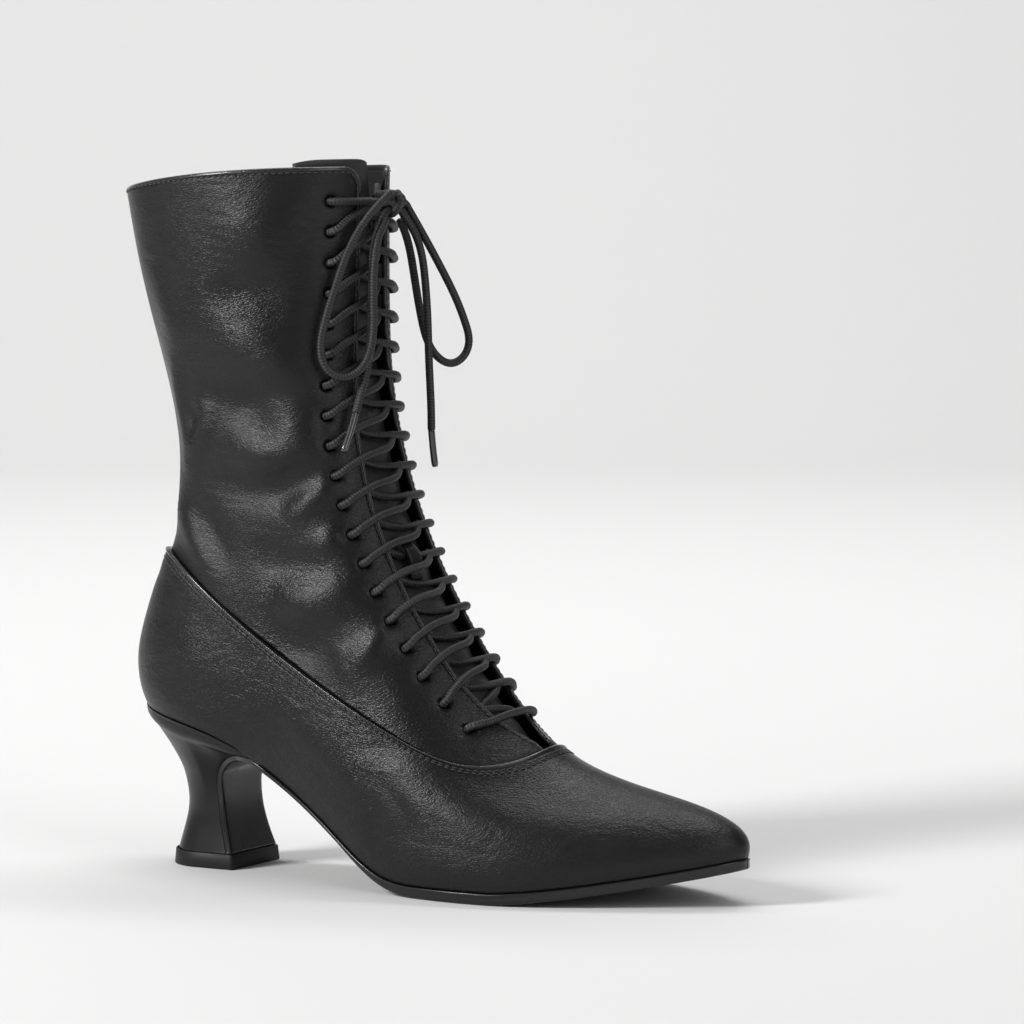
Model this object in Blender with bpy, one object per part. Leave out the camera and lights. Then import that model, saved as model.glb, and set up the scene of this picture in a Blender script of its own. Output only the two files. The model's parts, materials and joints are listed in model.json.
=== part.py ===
"""A lady's laced leather boot on a curved heel: the right one of a pair, standing empty.

Lengths are in millimetres until a mesh is made. x runs from the back of the heel to the toe,
y to the inner side of the foot, z up from the floor. The upper is one surface of rings. A ring
has a share up the boot, 0 at the feather line over the sole, and an angle round it, 0 at the
front, pi at the back, minus on the outer side.
"""

import bmesh
import bpy
import numpy as np

MM = 0.001

# Driving sizes
LENGTH = 255.0
BALL_WIDTH = 82.0
COLLAR_WIDTH = 78.4
SEAT_HEIGHT = 61.5
COUNTER_HEIGHT = 57.5
VAMP_HEIGHT = 53.3
FRONT_HEIGHT = 265.0
BACK_HEIGHT = 255.0
TOE_SPRING = 13.4
WALL = 2.0
FOXING_STEP = 0.9
GAP = 0.3

# Sole
SOLE_BALL = 4.2
SOLE_SHANK = 2.4
SOLE_FLAP = 1.8
SOLE_RIM = 0.5
BALL_BACK = 138.0
BALL_FRONT = 172.0
INSOLE_THICKNESS = 2.0

# Heel
TOP_PIECE = 5.7
TOP_PIECE_WIDTH = 33.6
SEAT_WIDTH = 57.0
BREAST_X = LENGTH * 0.1627
BREAST_REACH = LENGTH * 0.0784
TOP_PIECE_BACK = BREAST_X * 0.337
TOP_PIECE_FRONT = BREAST_X * 1.147

# Throat and lacing
THROAT_GAP = 32.0
EYELETS = 19
EYELET_HOLE = 3.8
EYELET_INSET = 13.2
EYELET_TOP = 0.959
EYELET_FOOT = 0.337
LACE = 3.0
TIP = 2.6
TONGUE_THICKNESS = 1.6
TONGUE_WIDTH = 44.0
TONGUE_RISE = 2.5
TONGUE_FOOT = 0.235
TONGUE_DEPTH = WALL + LACE + 5 * GAP
TONGUE_SHIFT = 14.0
KEEPER_WIDTH = 7.0
KEEPER_MIDDLE = -3.0
KEEPER_THICKNESS = 1.0
COLLAR_CORNER = 6.5
COLLAR_CROWN = 2.6

# One row per ring, feather line to collar: front x, front z, back x, back z, sole, seam. Both x
# are shares of LENGTH. Up to the seam, front z is a share of the vamp's height over the sole and
# back z one of COUNTER_HEIGHT over the seat. Above it both are shares of the way to the collar.
# sole and seam say how much of those two lines' sag the ring takes.
FOXING_RINGS = np.array([
    (0.993, 0.00, 0.016, 0.000, 1.00, 0.00),
    (0.995, 0.09, 0.006, 0.122, 0.92, 0.00),
    (0.985, 0.20, 0.001, 0.270, 0.80, 0.10),
    (0.942, 0.37, 0.006, 0.445, 0.66, 0.30),
    (0.859, 0.57, 0.020, 0.635, 0.50, 0.55),
    (0.773, 0.76, 0.039, 0.825, 0.27, 0.80),
    (0.693, 1.00, 0.061, 1.000, 0.00, 1.00),
])
QUARTER_RINGS = np.array([
    (0.571, 0.150, 0.076, 0.125, 0.00, 0.50),
    (0.474, 0.334, 0.080, 0.280, 0.00, 0.15),
    (0.414, 0.546, 0.064, 0.475, 0.00, 0.00),
    (0.398, 0.768, 0.021, 0.750, 0.00, 0.00),
    (0.399, 1.000, -0.010, 1.000, 0.00, 0.00),
])
# Half widths at eighths of the half turn, front to back, as shares of half the ball's width for
# the first seven rings, and of half the collar's for the rest.
FOXING_WIDTHS = np.array([
    (0.30, 0.68, 0.975, 0.82, 0.63, 0.68, 0.46),
    (0.33, 0.72, 1.010, 0.87, 0.69, 0.73, 0.49),
    (0.33, 0.71, 1.000, 0.89, 0.74, 0.74, 0.49),
    (0.33, 0.70, 0.975, 0.90, 0.77, 0.74, 0.48),
    (0.36, 0.73, 0.940, 0.89, 0.78, 0.72, 0.46),
    (0.40, 0.75, 0.900, 0.86, 0.77, 0.70, 0.45),
    (0.43, 0.75, 0.850, 0.81, 0.76, 0.68, 0.43),
])
QUARTER_WIDTHS = np.array([
    (0.41, 0.71, 0.815, 0.80, 0.77, 0.68, 0.43),
    (0.38, 0.67, 0.775, 0.785, 0.75, 0.64, 0.40),
    (0.37, 0.665, 0.805, 0.84, 0.80, 0.66, 0.39),
    (0.39, 0.715, 0.895, 0.955, 0.90, 0.73, 0.405),
    (0.40, 0.74, 0.930, 1.000, 0.94, 0.75, 0.415),
])
# The seam's height over its chord at the same angles, as shares of COUNTER_HEIGHT
SEAM_SAG = np.array([0.0, -0.11, -0.24, -0.235, -0.185, -0.095, 0.025, 0.065, 0.0])
# The feather line, heel seat to ball: x as a share of LENGTH, z as a share of SEAT_HEIGHT
SHANK_LINE = np.array([
    (0.016, 1.000), (0.070, 0.957), (0.125, 0.912), (0.180, 0.850), (0.230, 0.762), (0.275, 0.658),
    (0.320, 0.540), (0.365, 0.415), (0.410, 0.285), (0.455, 0.165), (0.500, 0.090), (0.541, 0.068),
])
# The foot's curve to its inner side: x as a share of LENGTH, y as a share of BALL_WIDTH
SWING = np.array([
    (0.00, 0.000), (0.20, 0.000), (0.31, -0.010), (0.40, -0.028), (0.48, -0.040), (0.56, -0.038),
    (0.64, -0.018), (0.72, 0.008), (0.80, 0.034), (0.90, 0.050), (1.00, 0.050),
])
# Half the throat's gap, seam to collar: share up the boot, share of half of THROAT_GAP
THROAT = np.array([
    (0.30, 0.30), (0.34, 0.68), (0.39, 0.92), (0.47, 1.00), (0.58, 0.98), (0.67, 0.88), (0.76, 0.70),
    (0.86, 0.58), (1.00, 0.55),
])
# The underside of the sole turning down the heel's breast: x as a share of the breast's reach
# in front of the waist, z as a share of SEAT_HEIGHT, half width as a share of half SEAT_WIDTH
BREAST_LINE = np.array([
    (1.00, 0.685, 0.93), (0.74, 0.693, 0.86), (0.46, 0.680, 0.73), (0.22, 0.645, 0.62),
    (0.05, 0.590, 0.54), (0.00, 0.520, 0.505), (0.02, 0.425, 0.49), (0.07, 0.315, 0.50),
    (0.16, 0.200, 0.53), (0.26, 0.100, 0.57),
])
# The heel's back: x as a share of BREAST_X, z as a share of SEAT_HEIGHT, half width as a share
# of half SEAT_WIDTH, in step with the rows of BREAST_LINE
HEEL_BACKS = np.array([
    (0.100, 0.995, 1.000), (0.150, 0.945, 0.940), (0.215, 0.875, 0.860), (0.290, 0.795, 0.760),
    (0.370, 0.705, 0.665), (0.440, 0.600, 0.575), (0.483, 0.450, 0.510), (0.475, 0.325, 0.503),
    (0.428, 0.205, 0.535), (0.380, 0.100, 0.570),
])

# The tongue's half width: share up the boot, share of TONGUE_WIDTH
TONGUE_SIDES = np.array([(TONGUE_FOOT, 0.36), (0.32, 0.44), (0.45, 0.50), (0.80, 0.50), (1.00, 0.38)])
# How much of TONGUE_RISE the tongue's top edge takes, side to side
TONGUE_TOP = np.array([0.45, 0.85, 1.00, 1.00, 1.00, 0.85, 0.45])
# The keeper's two ends on the tongue, as shares up the boot
KEEPER_ENDS = (0.548, 0.598)

FOXING_ROWS = 8
QUARTER_ROWS = 11
SIDE_COLUMNS = 22
SHARP_ANGLE = 0.6
# The share of the throat's start that the front columns keep at the feather line, and the share
# up the boot between the seam's two rows
HEM_START = 0.6
SEAM_STEP = 0.002


def spline(knots, values, at, level_ends=False):
    """Natural cubic through rows of values: second slopes solve the usual three-band system, and
    are 0 at the ends, or level_ends sets the first slopes there to 0."""
    values = np.asarray(values, float)
    step = np.diff(knots)
    count = len(knots)
    rise = np.diff(values, axis=0) / step.reshape((-1,) + (1,) * (values.ndim - 1))
    bands = np.eye(count)
    right = np.zeros_like(values)
    inner = np.arange(1, count - 1)
    bands[inner, inner - 1] = step[:-1]
    bands[inner, inner] = 2 * (step[:-1] + step[1:])
    bands[inner, inner + 1] = step[1:]
    right[1:-1] = 6 * (rise[1:] - rise[:-1])
    if level_ends:
        bands[0, :2] = 2 * step[0], step[0]
        bands[-1, -2:] = step[-1], 2 * step[-1]
        right[0] = 6 * rise[0]
        right[-1] = -6 * rise[-1]
    second = np.linalg.solve(bands, right.reshape(count, -1)).reshape(values.shape)
    at = np.asarray(at, float)
    k = np.clip(np.searchsorted(knots, at) - 1, 0, count - 2)
    wide = (...,) + (None,) * (values.ndim - 1)
    h = step[k][wide]
    a = (knots[k + 1] - at)[wide] / h
    b = (at - knots[k])[wide] / h
    bend = ((a**3 - a) * second[k] + (b**3 - b) * second[k + 1]) * h * h / 6
    return a * values[k] + b * values[k + 1] + bend


def sole_top(x):
    """The feather line's height: a spline down the shank, level over the ball, a rising power
    curve to the toe."""
    shank = spline(SHANK_LINE[:, 0] * LENGTH, SHANK_LINE[:, 1] * SEAT_HEIGHT, x)
    along = np.clip((x - BALL_FRONT) / (LENGTH - BALL_FRONT), 0, None)
    return np.where(x < BALL_BACK, np.maximum(shank, SOLE_BALL), SOLE_BALL + TOE_SPRING * along**1.35)


def swing(x):
    """How far the foot's middle lies to the inner side at x."""
    return spline(SWING[:, 0] * LENGTH, SWING[:, 1] * BALL_WIDTH, x)


def ring_rows():
    """The rings' tables in millimetres, and each ring's share up the boot."""
    foxing = FOXING_RINGS.copy()
    quarter = QUARTER_RINGS.copy()
    foxing[:, (0, 2)] *= LENGTH
    quarter[:, (0, 2)] *= LENGTH
    base = sole_top(foxing[:, 0])
    foxing[:, 1] = base + foxing[:, 1] * (VAMP_HEIGHT - base[-1])
    foxing[:, 3] = SEAT_HEIGHT + foxing[:, 3] * COUNTER_HEIGHT
    seam_back = SEAT_HEIGHT + COUNTER_HEIGHT
    quarter[:, 1] = VAMP_HEIGHT + quarter[:, 1] * (FRONT_HEIGHT - VAMP_HEIGHT)
    quarter[:, 3] = seam_back + quarter[:, 3] * (BACK_HEIGHT - seam_back)
    widths = np.vstack([FOXING_WIDTHS * BALL_WIDTH, QUARTER_WIDTHS * COLLAR_WIDTH]) / 2
    rings = np.vstack([foxing, quarter])
    moved = np.diff(rings[:, :4], axis=0)
    climb = np.hypot(moved[:, 0], moved[:, 1]) + np.hypot(moved[:, 2], moved[:, 3])
    up = np.concatenate([[0], np.cumsum(climb)])
    ends = np.zeros((len(rings), 1))
    return up / up[-1], np.hstack([rings, ends, widths, ends])


RING_UP, RING_TABLE = ring_rows()
SEAM = RING_UP[len(FOXING_RINGS) - 1]
EIGHTHS = np.linspace(0, np.pi, 9)


def form(up, turn):
    """A point of the outer surface, as an array ending in x, y, z. A ring runs from its front
    point to its back point, x by the cosine of the turn. Its height is its chord plus shares of
    the sole's and the seam's sag, with a crown towards the collar, and its half width is a
    spline of the ring's row."""
    up, turn = np.broadcast_arrays(np.asarray(up, float), np.asarray(turn, float))
    row = spline(RING_UP, RING_TABLE, up)
    front_x, front_z, back_x, back_z, sole, seam = np.moveaxis(row[..., :6], -1, 0)
    angle = np.abs(turn)
    share = (1 - np.cos(turn)) / 2
    feather = RING_TABLE[0]
    feather_x = feather[0] + (feather[2] - feather[0]) * share
    sole_sag = sole_top(feather_x) - (feather[1] + (feather[3] - feather[1]) * share)
    seam_sag = spline(EIGHTHS, SEAM_SAG * COUNTER_HEIGHT, angle, level_ends=True)
    x = front_x + (back_x - front_x) * share
    z = front_z + (back_z - front_z) * share + sole * sole_sag + seam * seam_sag
    half = np.sum(spline(EIGHTHS, np.eye(9), angle) * row[..., 6:], axis=-1)
    z = z + 4 * COLLAR_CROWN * share * (1 - share) * np.clip((up - 0.6) / 0.4, 0, 1) ** 2
    return np.stack([x, np.sign(turn) * half + swing(x) * foot_share(up), z], axis=-1)


def foot_share(up):
    """How much of the foot's curve a ring keeps: all of it at the sole, none above the ankle."""
    return np.clip(1 - up / 0.75, 0, 1) ** 2


def outward(up, turn):
    """Unit normals of the form, from the cross product of its two slopes."""
    nudge = 1e-3
    rise = form(np.add(up, nudge), turn) - form(np.subtract(up, nudge), turn)
    sweep = form(up, np.add(turn, nudge)) - form(up, np.subtract(turn, nudge))
    normal = np.cross(sweep, rise)
    return normal / np.linalg.norm(normal, axis=-1, keepdims=True)


def lifted(up, turn, height):
    """A point that stands off the form by this height along its normal."""
    up, turn = np.broadcast_arrays(np.asarray(up, float), np.asarray(turn, float))
    return form(up, turn) + outward(up, turn) * np.asarray(height, float)[..., None]


def turn_at(up, across):
    """The turn, front part of a ring, where the half width is across."""
    turns = np.linspace(0, np.pi / 2, 60)
    found = [
        np.interp(abs(w), form(u, turns)[:, 1] - form(u, 0.0)[1], turns)
        for u, w in zip(np.atleast_1d(up), np.atleast_1d(across))
    ]
    return np.sign(across) * np.array(found)


def throat_turn(up):
    """The turn of the throat's edge. Below the seam the ring is closed, and this is where the
    front columns start."""
    half = np.interp(up, THROAT[:, 0], THROAT[:, 1]) * THROAT_GAP / 2
    return turn_at(up, half)


def beside_throat(up, distance):
    """The turn that lies this far round a ring from the throat's edge."""
    turns = np.linspace(0, 2.2, 160)
    found = []
    for u, start in zip(np.atleast_1d(up), throat_turn(np.atleast_1d(up))):
        steps = np.linalg.norm(np.diff(form(u, turns), axis=0), axis=1)
        length = np.concatenate([[0], np.cumsum(steps)])
        found.append(np.interp(np.interp(start, turns, length) + distance, length, turns))
    return np.array(found)


def level_edge(turns, proud):
    """A point of the feather line moved out level by proud, or in where it is minus."""
    normal = outward(np.zeros_like(turns), turns) * [1.0, 1.0, 0.0]
    return form(0.0, turns) + normal / np.linalg.norm(normal, axis=-1, keepdims=True) * proud


def hem_turns():
    """The turns of one side's columns along the feather line, toe to heel."""
    start = throat_turn([SEAM])[0] * HEM_START
    return start + (np.pi - start) * np.linspace(0, 1, SIDE_COLUMNS + 1)


def solid_object(name, points, faces, material_used):
    """A mesh object from points in millimetres, with its faces turned outwards."""
    mesh = bpy.data.meshes.new(name)
    mesh.from_pydata(np.asarray(points) * MM, [], [tuple(int(i) for i in face) for face in faces])
    work = bmesh.new()
    work.from_mesh(mesh)
    bmesh.ops.recalc_face_normals(work, faces=work.faces)
    work.to_mesh(mesh)
    work.free()
    mesh.materials.append(material_used)
    mesh.shade_smooth()
    mesh.set_sharp_from_angle(angle=SHARP_ANGLE)
    obj = bpy.data.objects.new(name, mesh)
    bpy.context.collection.objects.link(obj)
    return obj


def quads(first, second):
    """Faces between two rows of vertex numbers."""
    return list(zip(first[:-1], first[1:], second[1:], second[:-1]))


def material(name, colour, roughness, metallic=0.0):
    made = bpy.data.materials.new(name)
    made.use_nodes = True
    shader = made.node_tree.nodes["Principled BSDF"]
    shader.inputs["Base Color"].default_value = (*colour, 1.0)
    shader.inputs["Roughness"].default_value = roughness
    shader.inputs["Metallic"].default_value = metallic
    return made


def upper_rows():
    """Each row's share up the boot. The seam comes twice, for the step."""
    foxing = SEAM * np.linspace(0, 1, FOXING_ROWS + 1) ** 1.15
    above = SEAM + SEAM_STEP
    quarter = above + (1 - above) * np.linspace(0, 1, QUARTER_ROWS + 1)
    return np.concatenate([foxing, quarter])


def upper(leather):
    """One hollow wall: outer and inner grids joined along the feather edge, the collar, the two
    edges of the throat and its foot. The foxing stands a step proud of the quarters."""
    ups = upper_rows()
    seam_row = FOXING_ROWS
    start = throat_turn(np.maximum(ups, SEAM))
    start = start * (HEM_START + (1 - HEM_START) * np.minimum(ups / SEAM, 1.0))
    side = start[:, None] + (np.pi - start[:, None]) * np.linspace(0, 1, SIDE_COLUMNS + 1)
    turns = np.hstack([-side, side[:, -2::-1]])
    front = start[:, None] * np.array([0.5, 0.0, -0.5])
    last = turns.shape[1] - 1
    turns = np.hstack([turns, front])
    grid_up = np.repeat(ups[:, None], turns.shape[1], axis=1)
    proud = np.where(np.arange(len(ups)) <= seam_row, FOXING_STEP, 0.0)[:, None]
    outer = form(grid_up, turns) + outward(grid_up, turns) * proud[..., None]
    normal = outward(grid_up, turns)
    normal[0, :, 2] = np.minimum(normal[0, :, 2], 0)
    inner = form(grid_up, turns) - normal * WALL
    for grid in (outer, inner):
        grid[-1, (0, last), 2] -= COLLAR_CORNER
        grid[-2, (0, last), 2] -= COLLAR_CORNER * 0.25
    rows, columns = grid_up.shape
    number = np.arange(rows * columns).reshape(rows, columns)
    within = number + rows * columns
    faces = []
    for r in range(rows - 1):
        end = columns if r < seam_row else last + 1
        for sheet, flip in ((number, False), (within, True)):
            low, high = sheet[r, :end], sheet[r + 1, :end]
            if r < seam_row:
                low, high = np.append(low, low[0]), np.append(high, high[0])
            faces += quads(high, low) if flip else quads(low, high)
    hem = np.append(number[0], number[0, 0])
    faces += quads(np.append(within[0], within[0, 0]), hem)
    faces += quads(number[-1, : last + 1], within[-1, : last + 1])
    foot = np.append(np.arange(last, columns), 0)
    faces += quads(number[seam_row, foot], within[seam_row, foot])
    for column in (0, last):
        faces += quads(number[seam_row:, column], within[seam_row:, column])
    used = np.unique(np.concatenate([np.ravel(f) for f in faces]))
    fresh = np.full(2 * rows * columns, -1)
    fresh[used] = np.arange(len(used))
    points = np.vstack([outer.reshape(-1, 3), inner.reshape(-1, 3)])[used]
    return solid_object("upper", points, [fresh[list(f)] for f in faces], leather)


def eyelet_ups():
    """The shares up the boot of the eyelets, top first, an equal walk apart along the edge."""
    ups = np.linspace(EYELET_TOP, EYELET_FOOT, 80)
    edge = form(ups, throat_turn(ups))
    walk = np.concatenate([[0], np.cumsum(np.linalg.norm(np.diff(edge, axis=0), axis=1))])
    return np.interp(np.linspace(0, walk[-1], EYELETS), walk, ups)


def punch_eyelets(leather_upper, leather):
    """Six-sided punches through the wall, all in one cutter."""
    ups = np.tile(eyelet_ups(), 2)
    turns = beside_throat(ups[:EYELETS], EYELET_INSET)
    turns = np.concatenate([-turns, turns])
    middle = form(ups, turns)
    normal = outward(ups, turns)
    along = np.cross(normal, np.array([0.0, 1.0, 0.0]))
    along /= np.linalg.norm(along, axis=-1, keepdims=True)
    beside = np.cross(normal, along)
    angle = np.arange(6) * np.pi / 3
    ring = np.cos(angle)[:, None] * along[:, None, :] + np.sin(angle)[:, None] * beside[:, None, :]
    reaches = (-2 * WALL, WALL)
    ends = [middle[:, None] + normal[:, None] * reach + ring * EYELET_HOLE / 2 for reach in reaches]
    points = np.stack(ends, axis=1).reshape(-1, 3)
    faces = []
    for k in range(2 * EYELETS):
        low = 12 * k + np.arange(6)
        faces += [tuple(low), tuple(low + 6)]
        faces += quads(np.append(low, low[0]), np.append(low, low[0]) + 6)
    cutter = solid_object("eyelet_punch", points, faces, leather)
    cutter.hide_render = True
    cutter.display_type = "WIRE"
    cut = leather_upper.modifiers.new("eyelets", "BOOLEAN")
    cut.operation = "DIFFERENCE"
    cut.object = cutter


def ladder(name, left, right, thick, material_used, tip=None):
    """A plate from its two edges, rows of points front to back. thick lists the offset vectors
    from its top to its underside, and tip a point in front of both edges."""
    count = len(left)
    tops = np.vstack([left, right])
    points = np.vstack([tops, tops + np.vstack([thick, thick])])
    a, b = np.arange(count), np.arange(count) + count
    c, d = a + 2 * count, b + 2 * count
    faces = quads(a, b) + quads(d, c) + quads(c, a) + quads(b, d)
    faces.append((a[-1], b[-1], d[-1], c[-1]))
    if tip is None:
        faces.append((a[0], c[0], d[0], b[0]))
    else:
        top = len(points)
        points = np.vstack([points, tip, tip + thick[0]])
        faces += [(a[0], top, b[0]), (d[0], top + 1, c[0])]
        faces += [(c[0], top + 1, top, a[0]), (b[0], top, top + 1, d[0])]
    return solid_object(name, points, faces, material_used)


def sole_bottom(x):
    """The underside of the forepart and shank, level with the floor over the ball."""
    along = np.clip((BALL_BACK - x) / (BALL_BACK - BREAST_X - BREAST_REACH), 0, 1)
    thick = SOLE_BALL + (SOLE_SHANK - SOLE_BALL) * np.clip(along * 2.2, 0, 1)
    bottom = sole_top(x) - thick
    return np.where((x > BALL_BACK - 1e-6) & (x < BALL_FRONT + 1e-6), 0.0, np.maximum(bottom, 0.0))


def breast_stations():
    """Stations of the outsole where it leaves the seat and goes down the breast: underside
    points, unit normals towards the heel, and half widths."""
    x = BREAST_X + BREAST_LINE[:, 0] * BREAST_REACH
    z = BREAST_LINE[:, 1] * SEAT_HEIGHT
    z[-1] = TOP_PIECE + GAP
    path = np.stack([x, z], axis=-1)
    slope = np.gradient(path, axis=0)
    slope /= np.linalg.norm(slope, axis=-1, keepdims=True)
    inward = np.stack([slope[:, 1], -slope[:, 0]], axis=-1)
    inward[-1] = -1.0, 0.0
    return path, inward, BREAST_LINE[:, 2] * SEAT_WIDTH / 2


def outsole(black_sole):
    """Forepart and shank under the feather line, then the flap down the breast, as one plate."""
    turns = hem_turns()
    shank_end = BREAST_X + BREAST_REACH * 1.3
    turns = turns[form(0.0, turns)[:, 0] > shank_end]
    proud = FOXING_STEP + SOLE_RIM
    edges = []
    for sign in (-1, 1):
        edge = level_edge(sign * turns, proud)
        edge[:, 2] -= GAP
        edges.append(edge)
    thick = np.zeros((len(turns), 3))
    thick[:, 2] = sole_bottom(edges[0][:, 0]) - edges[0][:, 2]
    path, inward, half = breast_stations()
    heel_thick = np.linspace(SOLE_SHANK - GAP, SOLE_FLAP, len(path))[:, None]
    upper_side = path + inward * heel_thick
    for sign, k in ((-1, 0), (1, 1)):
        flap = np.stack([upper_side[:, 0], sign * half, upper_side[:, 1]], axis=-1)
        edges[k] = np.vstack([edges[k], flap])
    down = path - upper_side
    thick = np.vstack([thick, np.stack([down[:, 0], 0 * half, down[:, 1]], axis=-1)])
    tip = level_edge(np.zeros(1), proud)[0]
    tip[2] -= GAP
    return ladder("outsole", edges[0], edges[1], thick, black_sole, tip)


def half_outline(front, back, half_front, half_back, straight=6, bend=6):
    """x and half width from the flat front to the back: a straight side, then a quarter of an
    ellipse whose radii are the half width."""
    radius = min(half_back, (front - back) * 0.96)
    side = np.linspace(0, 1, straight, endpoint=False)
    x = front + (back + radius - front) * side
    y = half_front + (half_back - half_front) * side
    angle = np.linspace(0, np.pi / 2, bend + 1)
    return (
        np.concatenate([x, back + radius * (1 - np.sin(angle))]),
        np.concatenate([y, half_back * np.cos(angle)]),
    )


def stack(name, rings, material_used):
    """A solid from rings of points, top ring first. Each ring runs from its front corner round
    the back to the other front corner."""
    rings = np.asarray(rings)
    count = rings.shape[1]
    points = rings.reshape(-1, 3)
    faces = []
    for k in range(len(rings) - 1):
        low = k * count + np.append(np.arange(count), 0)
        faces += quads(low, low + count)
    for k in (0, len(rings) - 1):
        ring = k * count + np.arange(count)
        half = count // 2
        faces += [(ring[i], ring[i + 1], ring[-i - 2], ring[-i - 1]) for i in range(half - 1)]
        faces.append((ring[half - 1], ring[half], ring[half + 1]))
    return solid_object(name, points, faces, material_used)


def whole_ring(x, y, z):
    """A ring from its one side: the other side mirrored, the back point once."""
    one = np.stack([x, -y, z], axis=-1)
    other = np.stack([x[-2::-1], y[-2::-1], z[-2::-1]], axis=-1)
    one[-1, 1] = 0.0
    return np.vstack([one, other])


def heel(black_heel):
    """The heel's block: D sections that fan down from the seat to the waist, then flare."""
    path, inward, half = breast_stations()
    thickness = np.linspace(SOLE_SHANK - GAP, SOLE_FLAP, len(path))[:, None]
    fronts = np.column_stack([path + inward * (thickness + GAP), half])
    rings = []
    for k, (back_x, back_z, wide) in enumerate(HEEL_BACKS):
        front_x, front_z, front_half = fronts[k]
        back = BREAST_X * back_x
        x, y = half_outline(front_x, back, front_half, wide * SEAT_WIDTH / 2)
        share = (front_x - x) / (front_x - back)
        back_height = back_z * SEAT_HEIGHT
        if k == len(HEEL_BACKS) - 1:
            front_z = back_height = TOP_PIECE + GAP
        z = front_z + (back_height - front_z) * share
        if k == 0:
            z = sole_top(x) - 2 * GAP
        rings.append(whole_ring(x, y, z))
    return stack("heel", rings, black_heel)


def top_piece(rubber):
    """The rubber top-piece that the heel stands on, a little wider at the floor."""
    rings = []
    for z, grow in ((TOP_PIECE, -0.5), (0.0, 0.0)):
        half = TOP_PIECE_WIDTH / 2 + grow
        x, y = half_outline(TOP_PIECE_FRONT + grow, TOP_PIECE_BACK - grow, half, half)
        rings.append(whole_ring(x, y, np.full_like(x, z)))
    return stack("top_piece", rings, rubber)


def insole(sock):
    """A plate inside the wall, resting just over the sole and the heel's seat."""
    turns = hem_turns()[1:-1]
    edges = []
    for sign in (-1, 1):
        edge = level_edge(sign * turns, -(WALL + 2 * GAP))
        edge[:, 2] += GAP + INSOLE_THICKNESS
        edges.append(edge)
    thick = np.zeros((len(turns), 3))
    thick[:, 2] = -INSOLE_THICKNESS
    return ladder("insole", edges[0], edges[1], thick, sock)


def tongue(lining_leather):
    """A long plate under the lacing, a lace's thickness below the flaps, moved to the outer side
    at the collar as worn."""
    rows, columns = 20, len(TONGUE_TOP)
    ups = np.linspace(TONGUE_FOOT, 1.0, rows)
    half = np.interp(ups, TONGUE_SIDES[:, 0], TONGUE_SIDES[:, 1]) * TONGUE_WIDTH
    shift = -TONGUE_SHIFT * np.clip((ups - 0.72) / 0.28, 0, 1)
    across = half[:, None] * np.linspace(-1, 1, columns) + shift[:, None]
    turns = np.array([turn_at(np.full(columns, u), row) for u, row in zip(ups, across)])
    depths = (TONGUE_DEPTH, TONGUE_DEPTH + TONGUE_THICKNESS)
    grids = [lifted(ups[:, None], turns, -depth) for depth in depths]
    for grid in grids:
        grid[-1, :, 2] += TONGUE_RISE * TONGUE_TOP
    number = np.arange(rows * columns).reshape(rows, columns)
    below = number + rows * columns
    faces = []
    for r in range(rows - 1):
        faces += quads(number[r], number[r + 1]) + quads(below[r + 1], below[r])
    for line in (number[0], number[-1], number[:, 0], number[:, -1]):
        faces += quads(line, line + rows * columns)
    points = np.vstack([g.reshape(-1, 3) for g in grids])
    return solid_object("tongue", points, faces, lining_leather)


def keeper(leather):
    """The small strap on the tongue that a lace runs through."""
    rows = 6
    ups = np.linspace(*KEEPER_ENDS, rows)
    height = 0.8 * np.sin(np.linspace(0, np.pi, rows)) - TONGUE_DEPTH + GAP
    turns = [turn_at(ups, np.full(rows, KEEPER_MIDDLE + side * KEEPER_WIDTH / 2)) for side in (-1, 1)]
    edges = [lifted(ups, turn, height + KEEPER_THICKNESS) for turn in turns]
    under = lifted(ups, turns[0], height)
    return ladder("lace_keeper", edges[0], edges[1], under - edges[0], leather)


def tube(name, points, width, material_used, sides=6):
    """A round bar along points, its sections square to the path, closed at both ends."""
    points = np.asarray(points, float)
    slope = np.gradient(points, axis=0)
    slope /= np.linalg.norm(slope, axis=-1, keepdims=True)
    first = np.cross(slope, np.array([0.25, 0.1, 1.0]))
    first /= np.linalg.norm(first, axis=-1, keepdims=True)
    second = np.cross(slope, first)
    angle = np.arange(sides) * 2 * np.pi / sides
    ring = np.cos(angle)[:, None] * first[:, None] + np.sin(angle)[:, None] * second[:, None]
    skin = (points[:, None] + ring * width / 2).reshape(-1, 3)
    faces = []
    for k in range(len(points) - 1):
        low = k * sides + np.append(np.arange(sides), 0)
        faces += quads(low, low + sides)
    faces += [tuple(range(sides)), tuple(range(len(skin) - sides, len(skin)))]
    return solid_object(name, skin, faces, material_used)


OVER_FLAP = LACE / 2 + 2 * GAP
UNDER_FLAP = -(WALL + LACE / 2 + 2 * GAP)


def strand(low_up, high_up, side, low_height):
    """Points of one strand: over its own flap, across the throat and under the other flap to the
    next eyelet up."""
    share = np.array([0.0, 0.34, 0.5, 0.66, 1.0])
    height = np.array([low_height, low_height, (low_height + UNDER_FLAP) / 2, UNDER_FLAP, UNDER_FLAP])
    ups = low_up + (high_up - low_up) * share
    edge = throat_turn(ups)
    reach = beside_throat(ups, EYELET_INSET - LACE)
    turns = side * np.array([reach[0], edge[1], 0.0, -edge[3], -reach[4]])
    return lifted(ups, turns, height)


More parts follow.
